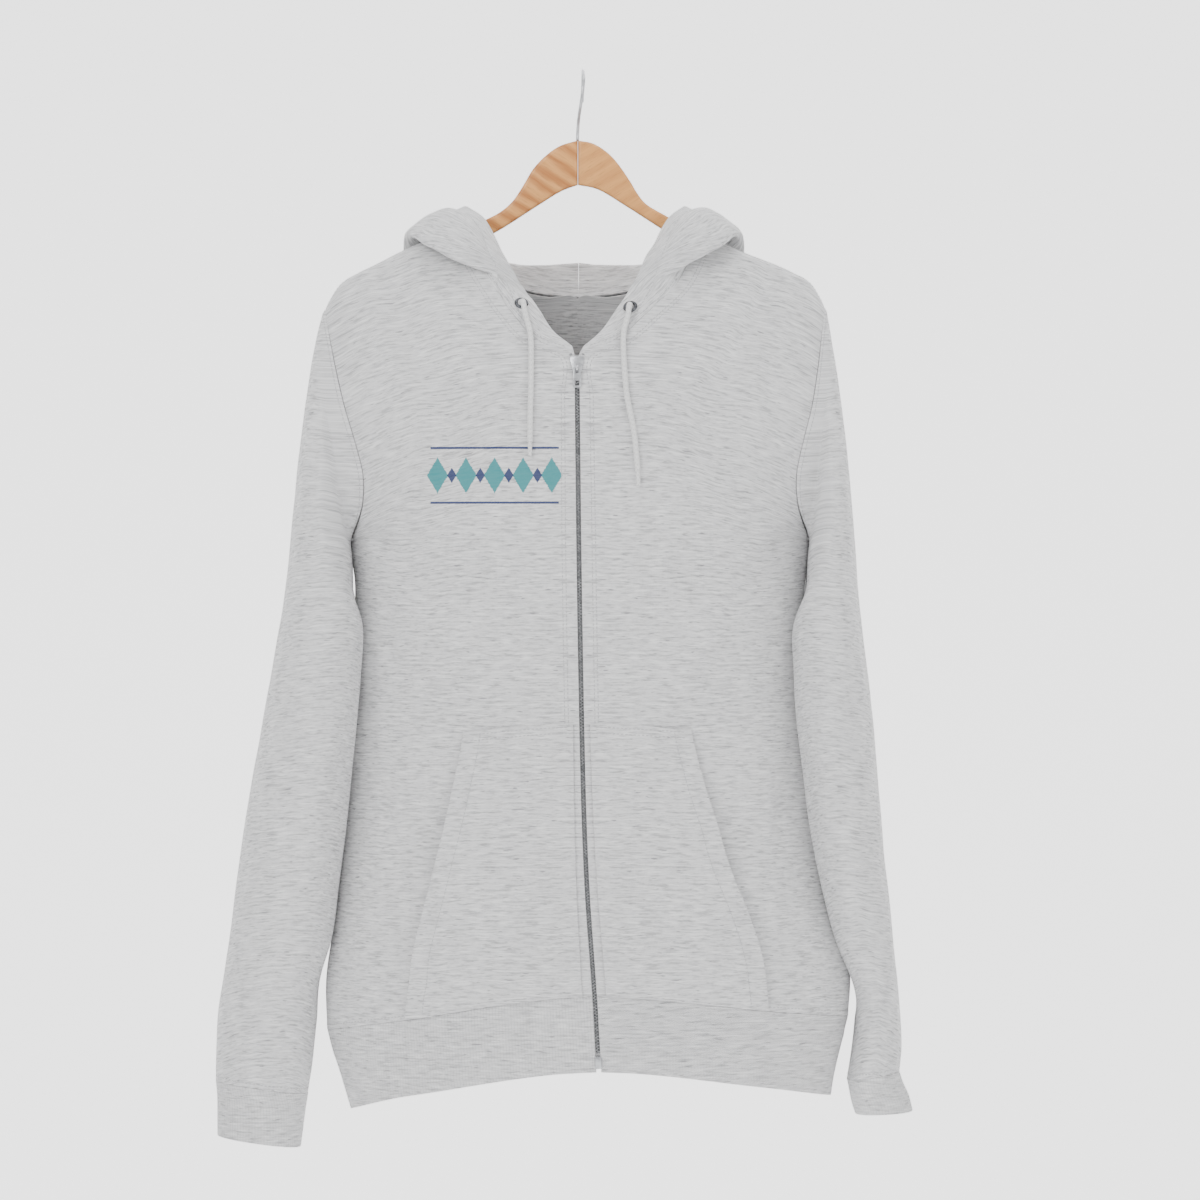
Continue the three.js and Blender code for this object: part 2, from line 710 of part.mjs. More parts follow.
// A closed body through rings of points, each ring given clockwise as seen from the first end
function loft(rings) {
  const sheet = new Sheet().grid(rings, false, true);
  const first = rings[0].map((point) => sheet.vertex(point));
  const last = rings[rings.length - 1].map((point) => sheet.vertex(point));
  for (let i = 1; i + 1 < first.length; i += 1) {
    sheet.face(first[0], first[i + 1], first[i], false);
    sheet.face(last[0], last[i], last[i + 1], false);
  }
  return solid(sheet.points, sheet.faces);
}

// The zip's path down the front, from its top to the hem
const zipPath = [];
function zipStep(ends, facing) {
  const normal = facing[0].clone().add(facing[1]).setX(0).normalize();
  zipPath.push({ point: ends[0].clone().lerp(ends[1], 0.5), normal });
}
for (let i = bodySteps + zipTopStep; i > 0; i -= 1) {
  const ends = ['right', 'left'].map((name) => body[name].front[i][0]);
  zipStep(ends, ['right', 'left'].map((name, k) => body[name].sheet.normalAt(ends[k])));
}
hemRows.forEach((row) => {
  const ends = [row[0], row[row.length - 1]];
  zipStep(ends, ends.map((point) => hemSheet.normalAt(point)));
});
function zipAt(z) {
  const i = Math.min(Math.max(zipPath.findIndex((step) => step.point.z <= z), 1), zipPath.length - 1);
  const [above, below] = [zipPath[i - 1], zipPath[i]];
  const share = (above.point.z - z) / (above.point.z - below.point.z);
  return {
    point: above.point.clone().lerp(below.point, share),
    normal: above.normal.clone().lerp(below.normal, share).normalize(),
  };
}

// Zip chain: the closed teeth as one band between the two fronts
const chainTopZ = -259.5;
const chainEndZ = -831;
const chainDeep = clothThickness + seamGap + tapeThickness;
const chainPlaces = [chainTopZ, ...zipPath.map((step) => step.point.z), chainEndZ]
  .filter((z) => z <= chainTopZ && z >= chainEndZ)
  .sort((a, b) => b - a);
const chainRings = chainPlaces.map((z) => {
  const { point, normal } = zipAt(z);
  const outer = point.clone().addScaledVector(normal, chainProud);
  const inner = point.clone().addScaledVector(normal, -chainDeep);
  const half = vec(chainWidth / 2, 0, 0);
  return [outer.clone().sub(half), inner.clone().sub(half), inner.clone().add(half), outer.clone().add(half)];
});
add('zip_chain', loft(chainRings), darkMetal);

// Zip tapes: a woven strip behind each front edge
const tapeShare = 0.5;
for (const sideName of ['right', 'left']) {
  const { front, sheet } = body[sideName];
  const rows = [];
  const strip = (row, owner, wall) => {
    const [edge, next] = row;
    const normal = owner.normalAt(edge);
    const outer = edge.clone().lerp(next, tapeShare);
    rows.push([edge, outer].map((point) => point.clone().addScaledVector(normal, -(wall + seamGap))));
  };
  for (let i = bodySteps + zipTopStep; i > 0; i -= 1) strip(front[i], sheet, clothThickness);
  hemRows.forEach((row) => {
    strip(sideName === 'right' ? row : [...row].reverse(), hemSheet, ribThickness);
  });
  add(`zip_tape_${sideName}`, new Sheet().grid(rows, sideName === 'left').thicken(tapeThickness), tape);
}

// A frame on the zip: x across, -y out of the cloth, z up along the chain
function zipFrame(z) {
  const { point, normal } = zipAt(z);
  const up = zipAt(z + 1).point.sub(zipAt(z - 1).point).normalize();
  const across = up.clone().cross(normal).normalize();
  const back = up.clone().cross(across).normalize();
  return new THREE.Matrix4().makeBasis(across, back, up).setPosition(point);
}
function outline(points) {
  return new THREE.Shape(points.map(([x, y]) => new THREE.Vector2(x, y)));
}
function hole(halfWidth, high, low) {
  return outline([[-halfWidth, high], [halfWidth, high], [halfWidth, low], [-halfWidth, low]]);
}
// An outline in x and z pushed from y = from to y = to
function plate(shape, from, to) {
  const geometry = new THREE.ExtrudeGeometry(shape, { depth: to - from, bevelEnabled: false });
  return geometry.rotateX(Math.PI / 2).translate(0, to, 0);
}
function welded(geometry) {
  geometry.deleteAttribute('normal');
  geometry.deleteAttribute('uv');
  return mergeVertices(geometry, 1e-3);
}
const manifold = await Module();
manifold.setup();
function joined(geometries) {
  const bodies = geometries.map((geometry) => {
    const clean = welded(geometry);
    return new manifold.Manifold(new manifold.Mesh({
      numProp: 3,
      vertProperties: new Float32Array(clean.attributes.position.array),
      triVerts: new Uint32Array(clean.index.array),
    }));
  });
  const mesh = manifold.Manifold.union(bodies).getMesh();
  const geometry = new THREE.BufferGeometry();
  geometry.setAttribute('position', new THREE.BufferAttribute(new Float32Array(mesh.vertProperties), 3));
  geometry.setIndex([...mesh.triVerts]);
  return geometry;
}

// Slider: front and back plates joined by a post between the chain's halves, and a bridge for the pull tab
const sliderZ = -251.5;
const sliderHalf = 6.8;
const sliderFrame = zipFrame(sliderZ);
const sliderFront = -0.6;
const sliderPlate = 1.4;
const pivotZ = -4;
const pivotY = -3.45;
const bridgeOuter = 2.5;
const bridgeInner = 1.15;
const wedge = outline([
  [-4.2, sliderHalf], [-5.8, sliderHalf - 1.4], [-5.6, 2],
  [-4.1, -3], [-3.9, -sliderHalf + 0.6], [-3.3, -sliderHalf],
  [3.3, -sliderHalf], [3.9, -sliderHalf + 0.6], [4.1, -3],
  [5.6, 2], [5.8, sliderHalf - 1.4], [4.2, sliderHalf],
]);
const bridge = new THREE.Shape();
bridge.moveTo(pivotZ - bridgeOuter, -sliderFront);
bridge.lineTo(pivotZ - bridgeOuter, -pivotY);
bridge.absarc(pivotZ, -pivotY, bridgeOuter, Math.PI, 0, true);
bridge.lineTo(pivotZ + bridgeOuter, -sliderFront);
bridge.lineTo(pivotZ + bridgeInner, -sliderFront);
bridge.lineTo(pivotZ + bridgeInner, -pivotY);
bridge.absarc(pivotZ, -pivotY, bridgeInner, 0, Math.PI, false);
bridge.lineTo(pivotZ - bridgeInner, -sliderFront);
const bridgeWidth = 2;
const bridgeBody = new THREE.ExtrudeGeometry(bridge, {
  depth: bridgeWidth,
  bevelEnabled: false,
  curveSegments: 6,
});
const upright = new THREE.Matrix4().makeBasis(vec(0, 0, 1), vec(0, -1, 0), vec(1, 0, 0));
bridgeBody.translate(0, 0, -bridgeWidth / 2).applyMatrix4(upright);
const backPlateFrom = chainDeep + 0.4;
const post = outline([[-1.5, sliderHalf], [-1.5, 3.4], [0, 2], [1.5, 3.4], [1.5, sliderHalf]]);
const slider = joined([
  plate(wedge, sliderFront - sliderPlate, sliderFront),
  plate(wedge, backPlateFrom, backPlateFrom + sliderPlate),
  plate(post, sliderFront - sliderPlate / 2, backPlateFrom + sliderPlate / 2),
  bridgeBody,
]);
add('zip_slider', slider.applyMatrix4(sliderFrame), steel);

// Pull tab: hangs through the bridge and rests on the cloth
const tabThickness = 1.3;
const tabLean = (7 * Math.PI) / 180;
const tab = outline([
  [-3.2, 0.65], [-3.2, -5], [-3.6, -7.5], [-3.6, -15.5], [-2.6, -16.5],
  [2.6, -16.5], [3.6, -15.5], [3.6, -7.5], [3.2, -5], [3.2, 0.65],
]);
tab.holes.push(hole(1.5, -0.65, -4.2), hole(2.15, -10.5, -14.8));
const pull = plate(tab, -tabThickness / 2, tabThickness / 2);
pull.rotateX(tabLean).translate(0, pivotY, pivotZ);
add('zip_pull', welded(pull).applyMatrix4(sliderFrame), steel);

// Top stops: a short clamp at each front edge above the slider
const stopZ = -243.4;
const stopOut = 5.4;
for (const [sideName, { sign }] of Object.entries(sides)) {
  const stop = new THREE.BoxGeometry(2.4, 1.3, 1.2).rotateY(sign * 0.5);
  stop.translate(sign * stopOut, -(seamGap + 0.75), 0);
  add(`zip_stop_${sideName}`, welded(stop).applyMatrix4(zipFrame(stopZ)), darkMetal);
}

// End box: holds the chain's two halves together at the hem
const endBoxTopZ = -831.3;
const endBoxLong = 10.5;
const tee = outline([
  [-2.6, -2], [2.6, -2], [2.6, -0.4], [1.7, -0.4], [1.7, 3.1], [-1.7, 3.1], [-1.7, -0.4], [-2.6, -0.4],
]);
const endBox = new THREE.ExtrudeGeometry(tee, { depth: endBoxLong, bevelEnabled: false });
endBox.translate(0, 0, -endBoxLong);
add('zip_end_box', welded(endBox).applyMatrix4(zipFrame(endBoxTopZ)), steel);

// Eyelets: a turned ring on the hood's front band, with its profile as distance from the axis and height
const eyeletSegments = 20;
const eyeletLift = 0.6;
const eyeletProfile = [
  [eyeletHole, 0], [eyeletRadius, 0], [eyeletRadius, 0.5], [eyeletRadius - 0.7, 1.4],
  [eyeletHole + 0.7, 1.6], [eyeletHole, 1],
];
const eyeletPlaces = {
  right: { station: 2, share: 0.2, step: 7.5 },
  left: { station: 2, share: 0.15, step: 8.75 },
};
function bandPoint(sideName, station, share, step) {
  const i = Math.floor(step);
  const [upper, lower] = [station, station + 1].map(
    (k) => hood[sideName][k][i].clone().lerp(hood[sideName][k][i + 1], step - i),
  );
  return upper.lerp(lower, share);
}
function eyeletFrame(sideName) {
  const { station, share, step } = eyeletPlaces[sideName];
  const centre = bandPoint(sideName, station, share, step);
  const at = (moreShare, moreStep) => bandPoint(sideName, station, share + moreShare, step + moreStep);
  const up = at(0.2, 0).sub(at(-0.2, 0));
  const across = at(0, 2).sub(at(0, -2));
  const out = up.cross(across).normalize();
  if (out.y > 0) out.negate();
  const side = vec(0, 0, 1).cross(out).normalize();
  return new THREE.Matrix4().makeBasis(side, out.clone().cross(side), out).setPosition(centre);
}
for (const sideName of ['right', 'left']) {
  const rings = [...eyeletProfile, eyeletProfile[0]].map(([far, high]) => Array.from(
    { length: eyeletSegments },
    (_, i) => {
      const angle = (2 * Math.PI * i) / eyeletSegments;
      return vec(far * Math.cos(angle), far * Math.sin(angle), high + eyeletLift);
    },
  ));
  const sheet = new Sheet().grid(rings, false, true);
  add(`eyelet_${sideName}`, solid(sheet.points, sheet.faces).applyMatrix4(eyeletFrame(sideName)), darkMetal);
}

// A round bar along a smooth path
const roundSides = 8;
function bar(points, radius, steps) {
  const circle = new THREE.Shape(Array.from({ length: roundSides }, (_, i) => {
    const angle = (2 * Math.PI * i) / roundSides;
    return new THREE.Vector2(radius * Math.cos(angle), radius * Math.sin(angle));
  }));
  const extrudePath = new THREE.CatmullRomCurve3(points.map((point) => vec(...point)), false, 'centripetal');
  return welded(new THREE.ExtrudeGeometry(circle, { steps, extrudePath, bevelEnabled: false }));
}

// Drawcord: its two free ends come out of the eyelets and hang down the front
const cordRoutes = {
  right: [
    [-51.7, -56.1, -200], [-51.1, -58.4, -198.2], [-50.4, -61.2, -198.3], [-49.9, -63.2, -200.4],
    [-49.2, -64.4, -204.2], [-48.3, -65.3, -209], [-46.8, -66.8, -214.5], [-45.1, -68.4, -220.5],
    [-43.9, -70.2, -227.5], [-43.4, -72, -235.5], [-43.3, -74.1, -245], [-43.4, -76, -255],
    [-43.4, -77.7, -265], [-43.6, -79, -275], [-43.9, -80.3, -286], [-44.1, -81.5, -297],
    [-44.2, -82.6, -308], [-44.2, -83.5, -317],
  ],
  left: [
    [40, -56.9, -202.8], [39.6, -59.3, -201], [39.2, -62, -201.1], [38.8, -64, -203.2],
    [38.4, -65, -206.6], [37.7, -65.9, -211], [36.3, -67.3, -216], [34.9, -68.7, -221],
    [34.2, -70.3, -228], [34, -72, -236], [34.4, -74.1, -246], [35, -75.9, -255],
    [35.6, -77.2, -263], [36.3, -78.6, -272], [37.5, -79.6, -281], [39.1, -80.6, -289],
    [41, -81.5, -298], [42.6, -82.2, -306], [43.7, -82.9, -314], [44.6, -83.8, -323.5],
    [45.5, -84.6, -333], [46.2, -85.2, -341.5],
  ],
};
const tipRoutes = {
  right: [[-44.2, -83.6, -317.4], [-44.2, -84, -323], [-44.2, -84.4, -328.5]],
  left: [[46.25, -85.3, -341.9], [46.5, -85.7, -347.7], [46.8, -86.2, -353.6]],
};
const tipDiameter = 3.4;
for (const sideName of ['right', 'left']) {
  const route = cordRoutes[sideName];
  add(`cord_${sideName}`, bar(route, cordDiameter / 2, route.length * 2), cordWhite);
  add(`cord_tip_${sideName}`, bar(tipRoutes[sideName], tipDiameter / 2, 2), cordWhite);
}

// Hanger: two shaped wooden arms that meet at the middle.
// Each has its top edge from the joint outwards and its lower edge back in.
const hangerEdges = {
  right: {
    top: [
      [-4.55, -58.2], [-19, -62.5], [-31, -70.5], [-42.5, -82.5], [-51.5, -97.5], [-60.4, -110.5],
      [-71, -119.5], [-84.2, -126.4], [-96, -133.6], [-114, -141.9], [-134, -148.5], [-154, -156.9],
      [-174, -167.2],
      [-189, -175.2], [-199, -181.4], [-203, -187],
    ],
    low: [
      [-201.5, -192.5], [-194, -192.5], [-174, -179.5], [-134, -161], [-104, -149], [-76.5, -137.4],
      [-40, -114.5], [-18, -101], [-4.55, -96],
    ],
  },
  left: {
    top: [
      [-4.25, -58.2], [8, -60.5], [19, -67], [28, -75.7], [40, -92.7], [46.5, -103.5], [53.6, -112.2],
      [72.3, -123.3], [84, -131.4], [96, -139.5], [116, -149.6], [136, -157.9], [156, -165.6], [171, -172],
      [184, -179.5], [190.5, -185],
    ],
    low: [
      [190, -190.5], [184, -191.5], [166, -183], [136, -170], [106, -156], [86, -144.8], [69.7, -135.2],
      [35, -113], [12, -99.5], [-4.25, -96],
    ],
  },
};
const edgeBevel = 2.5;
const edgeSteps = 20;
for (const sideName of ['right', 'left']) {
  const { top: upper, low } = hangerEdges[sideName];
  const smoothed = [upper, low].flatMap((points) => new THREE.SplineCurve(
    points.map(([x, z]) => new THREE.Vector2(x, z)),
  ).getPoints(edgeSteps));
  const arm = new THREE.ExtrudeGeometry(new THREE.Shape(smoothed), {
    depth: hangerThickness - 2 * edgeBevel,
    bevelThickness: edgeBevel,
    bevelSize: edgeBevel,
    bevelOffset: -edgeBevel,
    bevelSegments: 2,
  });
  arm.rotateX(Math.PI / 2).translate(0, hangerThickness / 2 - edgeBevel, 0);
  add(`hanger_${sideName}`, welded(arm), wood);
}

// Hook: a wire that rises out of the wood, passes in front of the rail and ends behind it
const crookRadius = crookInside + hookWireRadius;
const crook = table('angle x', [
  [202, -1.5], [180, -0.4], [160, 0.3], [140, 0.7], [120, 0.5], [105, 0.2], [90, 0],
  [72, 0], [52, -0.1], [32, -0.3], [12, -0.5], [-12, -0.8],
]);
const hookRoute = [
  [-4.7, 0, -57.8], [-4.6, 0, -52], [-4.2, -2.6, -46], [-3.6, -8, -39.5], [-2.7, -13.8, -33.5],
  ...crook.map(({ angle, x }) => {
    const turn = THREE.MathUtils.degToRad(angle);
    return [x, crookRadius * Math.cos(turn), hookWireRadius - crookRadius + crookRadius * Math.sin(turn)];
  }),
];
const hookSteps = 36;
add('hanger_hook', bar(hookRoute, hookWireRadius, hookSteps), steel);

export default group;
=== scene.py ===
"""A zip-up hoodie on a wooden hanger. Lengths in the tables are millimetres, and the scene is in metres.

The frame's origin is the inside top of the hook. The garment's front faces -Y, and the wearer's right is -X.
"""
import math

import bpy
import numpy as np
from mathutils import Matrix, Vector, noise


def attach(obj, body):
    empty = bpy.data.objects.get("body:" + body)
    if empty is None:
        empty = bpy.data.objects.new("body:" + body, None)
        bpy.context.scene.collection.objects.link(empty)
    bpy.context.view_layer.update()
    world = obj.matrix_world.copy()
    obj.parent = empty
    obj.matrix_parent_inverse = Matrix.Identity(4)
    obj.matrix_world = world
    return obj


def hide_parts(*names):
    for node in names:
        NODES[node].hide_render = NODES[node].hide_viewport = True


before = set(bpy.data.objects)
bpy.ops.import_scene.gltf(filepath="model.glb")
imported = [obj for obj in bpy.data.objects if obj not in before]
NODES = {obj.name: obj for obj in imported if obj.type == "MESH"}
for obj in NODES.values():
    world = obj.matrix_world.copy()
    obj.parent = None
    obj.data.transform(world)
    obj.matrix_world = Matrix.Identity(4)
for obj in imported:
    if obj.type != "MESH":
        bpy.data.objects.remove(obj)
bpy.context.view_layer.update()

bl_info = {
    "name": "Zip-up hoodie on a hanger",
    "version": (1, 0, 0),
    "blender": (4, 5, 0),
    "location": "View3D > Sidebar > Hoodie",
    "description": "Builds the cloth, zip, drawcord and hanger of a heather grey hoodie",
    "category": "Add Mesh",
}

MM = 0.001
SIDES = ("right", "left")
SIGN = {"right": -1, "left": 1}

# Sizes shared with the frame, in millimetres
CLOTH_THICKNESS = 2.0
RIB_THICKNESS = 2.4
SEAM_GAP = 0.3
CHAIN_WIDTH = 3.6
NECK_MIDDLE_X = -4
ROUNDNESS = 2.3
RIDGE_REACH = 170
SIDE_SEAM_Y = 12
TUCK_REACH = 16
SETTLE_REACH = 120
ZIP_TOP_Z = -243
UNDERARM_Z = -402
HEM_SEAM_Z = -782
HEM_BOTTOM_Z = -845
POCKET_TOP_Z = -553
POCKET_MOUTH_GAP = 9
BACK_NECK_Z = -190
ARMHOLE_STEPS = 11
ZIP_TOP_STEP = 5
BODY_STEPS = 11
POCKET_ROWS = 6
POCKET_COLUMN = 5
FRONT_COLUMNS = 9
ROW_COUNT = BODY_STEPS + ARMHOLE_STEPS
HEM_STEPS = 4
HOOD_STEPS = 14
NECK_STEPS = (ARMHOLE_STEPS - ZIP_TOP_STEP) * 2


def table(names, rows):
    return [dict(zip(names.split(), row)) for row in rows]


def through(rows, along, name):
    """A smooth curve through one column of a table, held level past its ends."""
    at = [row[along] for row in rows]
    value = [row[name] for row in rows]
    last = len(at) - 1
    slope = []
    for i in range(last + 1):
        before, after = max(i - 1, 0), min(i + 1, last)
        slope.append((value[after] - value[before]) / (at[after] - at[before]))

    def curve(where):
        if where <= at[0]:
            return value[0]
        if where >= at[last]:
            return value[last]
        i = next(k for k in range(last) if where < at[k + 1])
        step = at[i + 1] - at[i]
        t = (where - at[i]) / step
        low = value[i] * (1 + 2 * t) * (1 - t) ** 2 + slope[i] * step * t * (1 - t) ** 2
        return low + value[i + 1] * t * t * (3 - 2 * t) + slope[i + 1] * step * t * t * (t - 1)

    return curve


def mix(a, b, t):
    return a + (b - a) * t


def clamp(value, low=0.0, high=1.0):
    return min(max(value, low), high)


# The body's sections, from the hem up
BODY_SECTIONS = table("z right left front back tuck", [
    (-885, -200, 212, 86, 82, 4),
    (-850, -211, 218, 91, 85, 6),
    (-815, -222, 227, 97, 88, 9),
    (-777, -224, 234, 101, 89, 14),
    (-740, -219, 226, 104, 89, 20),
    (-700, -214, 213, 106, 89, 24),
    (-600, -206, 204, 103, 87, 26),
    (-500, -201, 194, 96, 83, 18),
    (-402, -200, 196, 88, 79, 0),
    (-300, -240, 234, 79, 71, 0),
    (-213, -262, 250, 67, 60, 0),
    (-130, -275, 262, 50, 46, 0),
])
body_at = {name: through(BODY_SECTIONS, "z", name) for name in ("right", "left", "front", "back", "tuck")}
zip_x = through(table("z x", [
    (-845, 13.5), (-773, 9.5), (-705, 4.5), (-620, 0.8), (-450, -2.6), (-243, -5),
]), "z", "x")
ridge_z = {
    "right": through(table("out z", [
        (0, -92), (60, -108), (100, -131), (143, -148), (175, -164),
        (191, -172), (204, -181), (212, -190), (217, -202),
    ]), "out", "z"),
    "left": through(table("out z", [
        (0, -92), (60, -110), (102, -134), (142, -153), (168, -163),
        (185, -171), (198, -179), (206, -188), (211, -200),
    ]), "out", "z"),
}
TIPS = {"right": (-221, -202), "left": (207, -200)}

# Large soft folds that the solids have too
FOLDS = table("face x0 z0 x1 z1 width depth", [
    ("front", -103, -560, -128, -735, 13, 4),
    ("front", 92, -560, 138, -735, 13, 4),
    ("front", -150, -400, -165, -640, 18, 3),
    ("front", 145, -420, 160, -640, 18, 3),
    ("front", -60, -800, -120, -700, 16, 2.5),
    ("back", -95, -330, -120, -720, 24, 5),
    ("back", 88, -350, 125, -740, 24, 5),
    ("back", -10, -480, 12, -770, 20, 3.5),
])


def fold_depth(face, x, z):
    depth = 0.0
    for fold in FOLDS:
        if fold["face"] != face:
            continue
        dx, dz = fold["x1"] - fold["x0"], fold["z1"] - fold["z0"]
        along = clamp(((x - fold["x0"]) * dx + (z - fold["z0"]) * dz) / (dx * dx + dz * dz))
        far = math.hypot(x - fold["x0"] - along * dx, z - fold["z0"] - along * dz)
        depth += fold["depth"] * math.exp(-((far / fold["width"]) ** 2))
    return depth


def body_y(face, x, z):
    """The body's depth at a place in the front view."""
    middle = zip_x(z)
    side = "right" if x < middle else "left"
    reach = min(abs((x - middle) / (body_at[side](z) - middle)), 1)
    across = (1 - reach ** ROUNDNESS) ** (1 / ROUNDNESS)
    below = clamp((ridge_z[side](abs(x - NECK_MIDDLE_X)) - z) / RIDGE_REACH)
    dome = math.sqrt(1 - (1 - below) ** 2)
    settle = 1 if z < UNDERARM_Z else max(0, 1 - (z - UNDERARM_Z) / SETTLE_REACH)
    seam = SIDE_SEAM_Y * settle
    deep = body_at[face](z)
    fold = fold_depth(face, x, z) * across * dome
    if face == "front":
        return seam * dome - ((deep + seam) * dome * across - fold)
    return seam * dome + (deep - seam) * dome * across - fold


def body_point(face, x, z):
    y = body_y(face, x, z)
    tuck = body_at["tuck"](z) * math.exp(-(((y - SIDE_SEAM_Y) / TUCK_REACH) ** 2))
    return (x - math.copysign(tuck, x), y, z)


def rise(s):
    return (1 - math.cos(math.pi * s)) / 2


ARMHOLE_TURN = 0.66
ARMHOLE_SOFTNESS = 2.2


def armhole_point(side, s):
    tip_x, tip_z = TIPS[side]

    def reach_at(part, z):
        turn = ARMHOLE_TURN * math.sin(min(1, part * ARMHOLE_SOFTNESS) * (math.pi / 2))
        return mix(zip_x(z), body_at[side](z), math.cos(turn) ** (2 / ROUNDNESS))

    z = mix(UNDERARM_Z, tip_z, rise(s))
    return reach_at(s, z) + (tip_x - reach_at(1, tip_z)) * s * s, z


NECKLINES = {
    "right": table("t x z", [
        (0, -7.6, -243), (0.2, -32, -235), (0.4, -52, -217), (0.6, -72, -190), (0.8, -91, -158), (1, -104, -131),
    ]),
    "left": table("t x z", [
        (0, -2.4, -243), (0.2, 22, -235), (0.4, 44, -214), (0.6, 66, -198), (0.8, 88, -168), (1, 98, -134),
    ]),
}


def front_centre(side, s):
    split = ZIP_TOP_STEP / ARMHOLE_STEPS
    if s <= split:
        z = mix(UNDERARM_Z, ZIP_TOP_Z, s / split)
        return zip_x(z) + SIGN[side] * (CHAIN_WIDTH / 2 + SEAM_GAP), z
    t = math.sin((math.pi / 2) * ((s - split) / (1 - split)))
    line = NECKLINES[side]
    return through(line, "t", "x")(t), through(line, "t", "z")(t)


def back_centre(side, s):
    split = ZIP_TOP_STEP / ARMHOLE_STEPS
    if s <= split:
        z = mix(UNDERARM_Z, BACK_NECK_Z, s / split)
        return zip_x(z), z
    t = (s - split) / (1 - split)
    neck = NECKLINES[side][5]
    x = mix(zip_x(BACK_NECK_Z), neck["x"], math.sin((math.pi / 2) * t))
    return x, mix(BACK_NECK_Z, neck["z"], 1 - max(math.cos((math.pi / 2) * t), 0.0) ** 0.8)


POCKET_MOUTHS = {
    "right": table("z x", [(-900, -158), (-782, -146), (-747, -139), (-654, -116), (-553, -99), (-402, -92)]),
    "left": table("z x", [(-900, 168), (-782, 154), (-747, 147), (-654, 114), (-553, 90), (-402, 84)]),
}
mouth_x = {side: through(rows, "z", "x") for side, rows in POCKET_MOUTHS.items()}


def pocket_warp(side, u, across, z, centre, wall):
    """Lets one column of the front follow the pocket mouth."""
    at_mouth = (mouth_x[side](z) - centre) / (wall - centre)
    turn = POCKET_COLUMN / FRONT_COLUMNS
    if u < turn:
        straight = (u / turn) * at_mouth
    else:
        quarter = ((u - turn) / (1 - turn)) * (math.pi / 2)
        straight = at_mouth + (1 - at_mouth) * math.sin(quarter) ** (2 / ROUNDNESS)
    fade = clamp((z - POCKET_TOP_Z) / (UNDERARM_Z - POCKET_TOP_Z))
    return mix(straight, across, fade * fade * (3 - 2 * fade))


HEM_DROP = {"right": 34, "left": 22}
HEM_DROP_BELOW = {"right": 38, "left": 26}
BACK_HEM_LOWER = 9


def wall_point(face, side, u, centre_z, drop):
    across = math.sin((u * math.pi) / 2) ** (2 / ROUNDNESS)
    z = centre_z - drop * across * across
    middle = zip_x(z)
    centre = middle + SIGN[side] * (CHAIN_WIDTH / 2 + SEAM_GAP) if face == "front" else middle
    wall = body_at[side](z)
    share = pocket_warp(side, u, across, z, centre, wall) if face == "front" else across
    return body_point(face, mix(centre, wall, share), z)


def body_row(face, side, row, columns):
    """One row of a panel: the lower ones reach the side seam, the upper ones the armhole."""
    points = []
    s = max(row - BODY_STEPS, 0) / ARMHOLE_STEPS
    low = min(row / BODY_STEPS, 1)
    if row < POCKET_ROWS:
        centre_z = mix(HEM_SEAM_Z + 1, POCKET_TOP_Z, row / POCKET_ROWS)
    else:
        centre_z = mix(POCKET_TOP_Z, UNDERARM_Z, (row - POCKET_ROWS) / (BODY_STEPS - POCKET_ROWS))
    neck = NECKLINES[side][5]
    tip_x, tip_z = TIPS[side]
    for i in range(columns + 1):
        u = i / columns
        if row < BODY_STEPS:
            points.append(wall_point(face, side, u, centre_z, HEM_DROP[side] * (1 - low) ** 1.4))
            continue
        centre_x, centre_up = front_centre(side, s) if face == "front" else back_centre(side, s)
        end_x, end_z = armhole_point(side, s)
        wide = mix(math.sin((u * math.pi) / 2) ** (2 / ROUNDNESS), u, min(1, s * 3))
        x = mix(centre_x, end_x, wide)
        top_x = mix(neck["x"], tip_x, wide)
        arch = ridge_z[side](abs(top_x - NECK_MIDDLE_X)) - mix(neck["z"], tip_z, wide)
        crown = ridge_z[side](abs(x - NECK_MIDDLE_X))
        if s == 1:
            points.append((x, 0.0, crown))
        else:
            points.append(body_point(face, x, min(mix(centre_up, end_z, wide) + rise(s) * arch, crown - 0.2)))
    return points


def hem_row(k):
    """One row of the hem band, from the zip round the back to the zip again."""
    share = k / HEM_STEPS

    def part(face, side, i):
        columns = FRONT_COLUMNS if face == "front" else FRONT_COLUMNS - 1
        lower = BACK_HEM_LOWER * math.cos((i / columns) * (math.pi / 2)) if face == "back" else 0
        drop = mix(HEM_DROP[side], HEM_DROP_BELOW[side], share)
        return wall_point(face, side, i / columns, mix(HEM_SEAM_Z + 1 - SEAM_GAP, HEM_BOTTOM_Z - lower, share), drop)

    count = FRONT_COLUMNS
    row = [part("front", "right", i) for i in range(count + 1)]
    row += [part("back", "right", i) for i in range(count - 2, -1, -1)]
    row += [part("back", "left", i) for i in range(1, count - 1)]
    row += [part("front", "left", i) for i in range(count, -1, -1)]
    return row


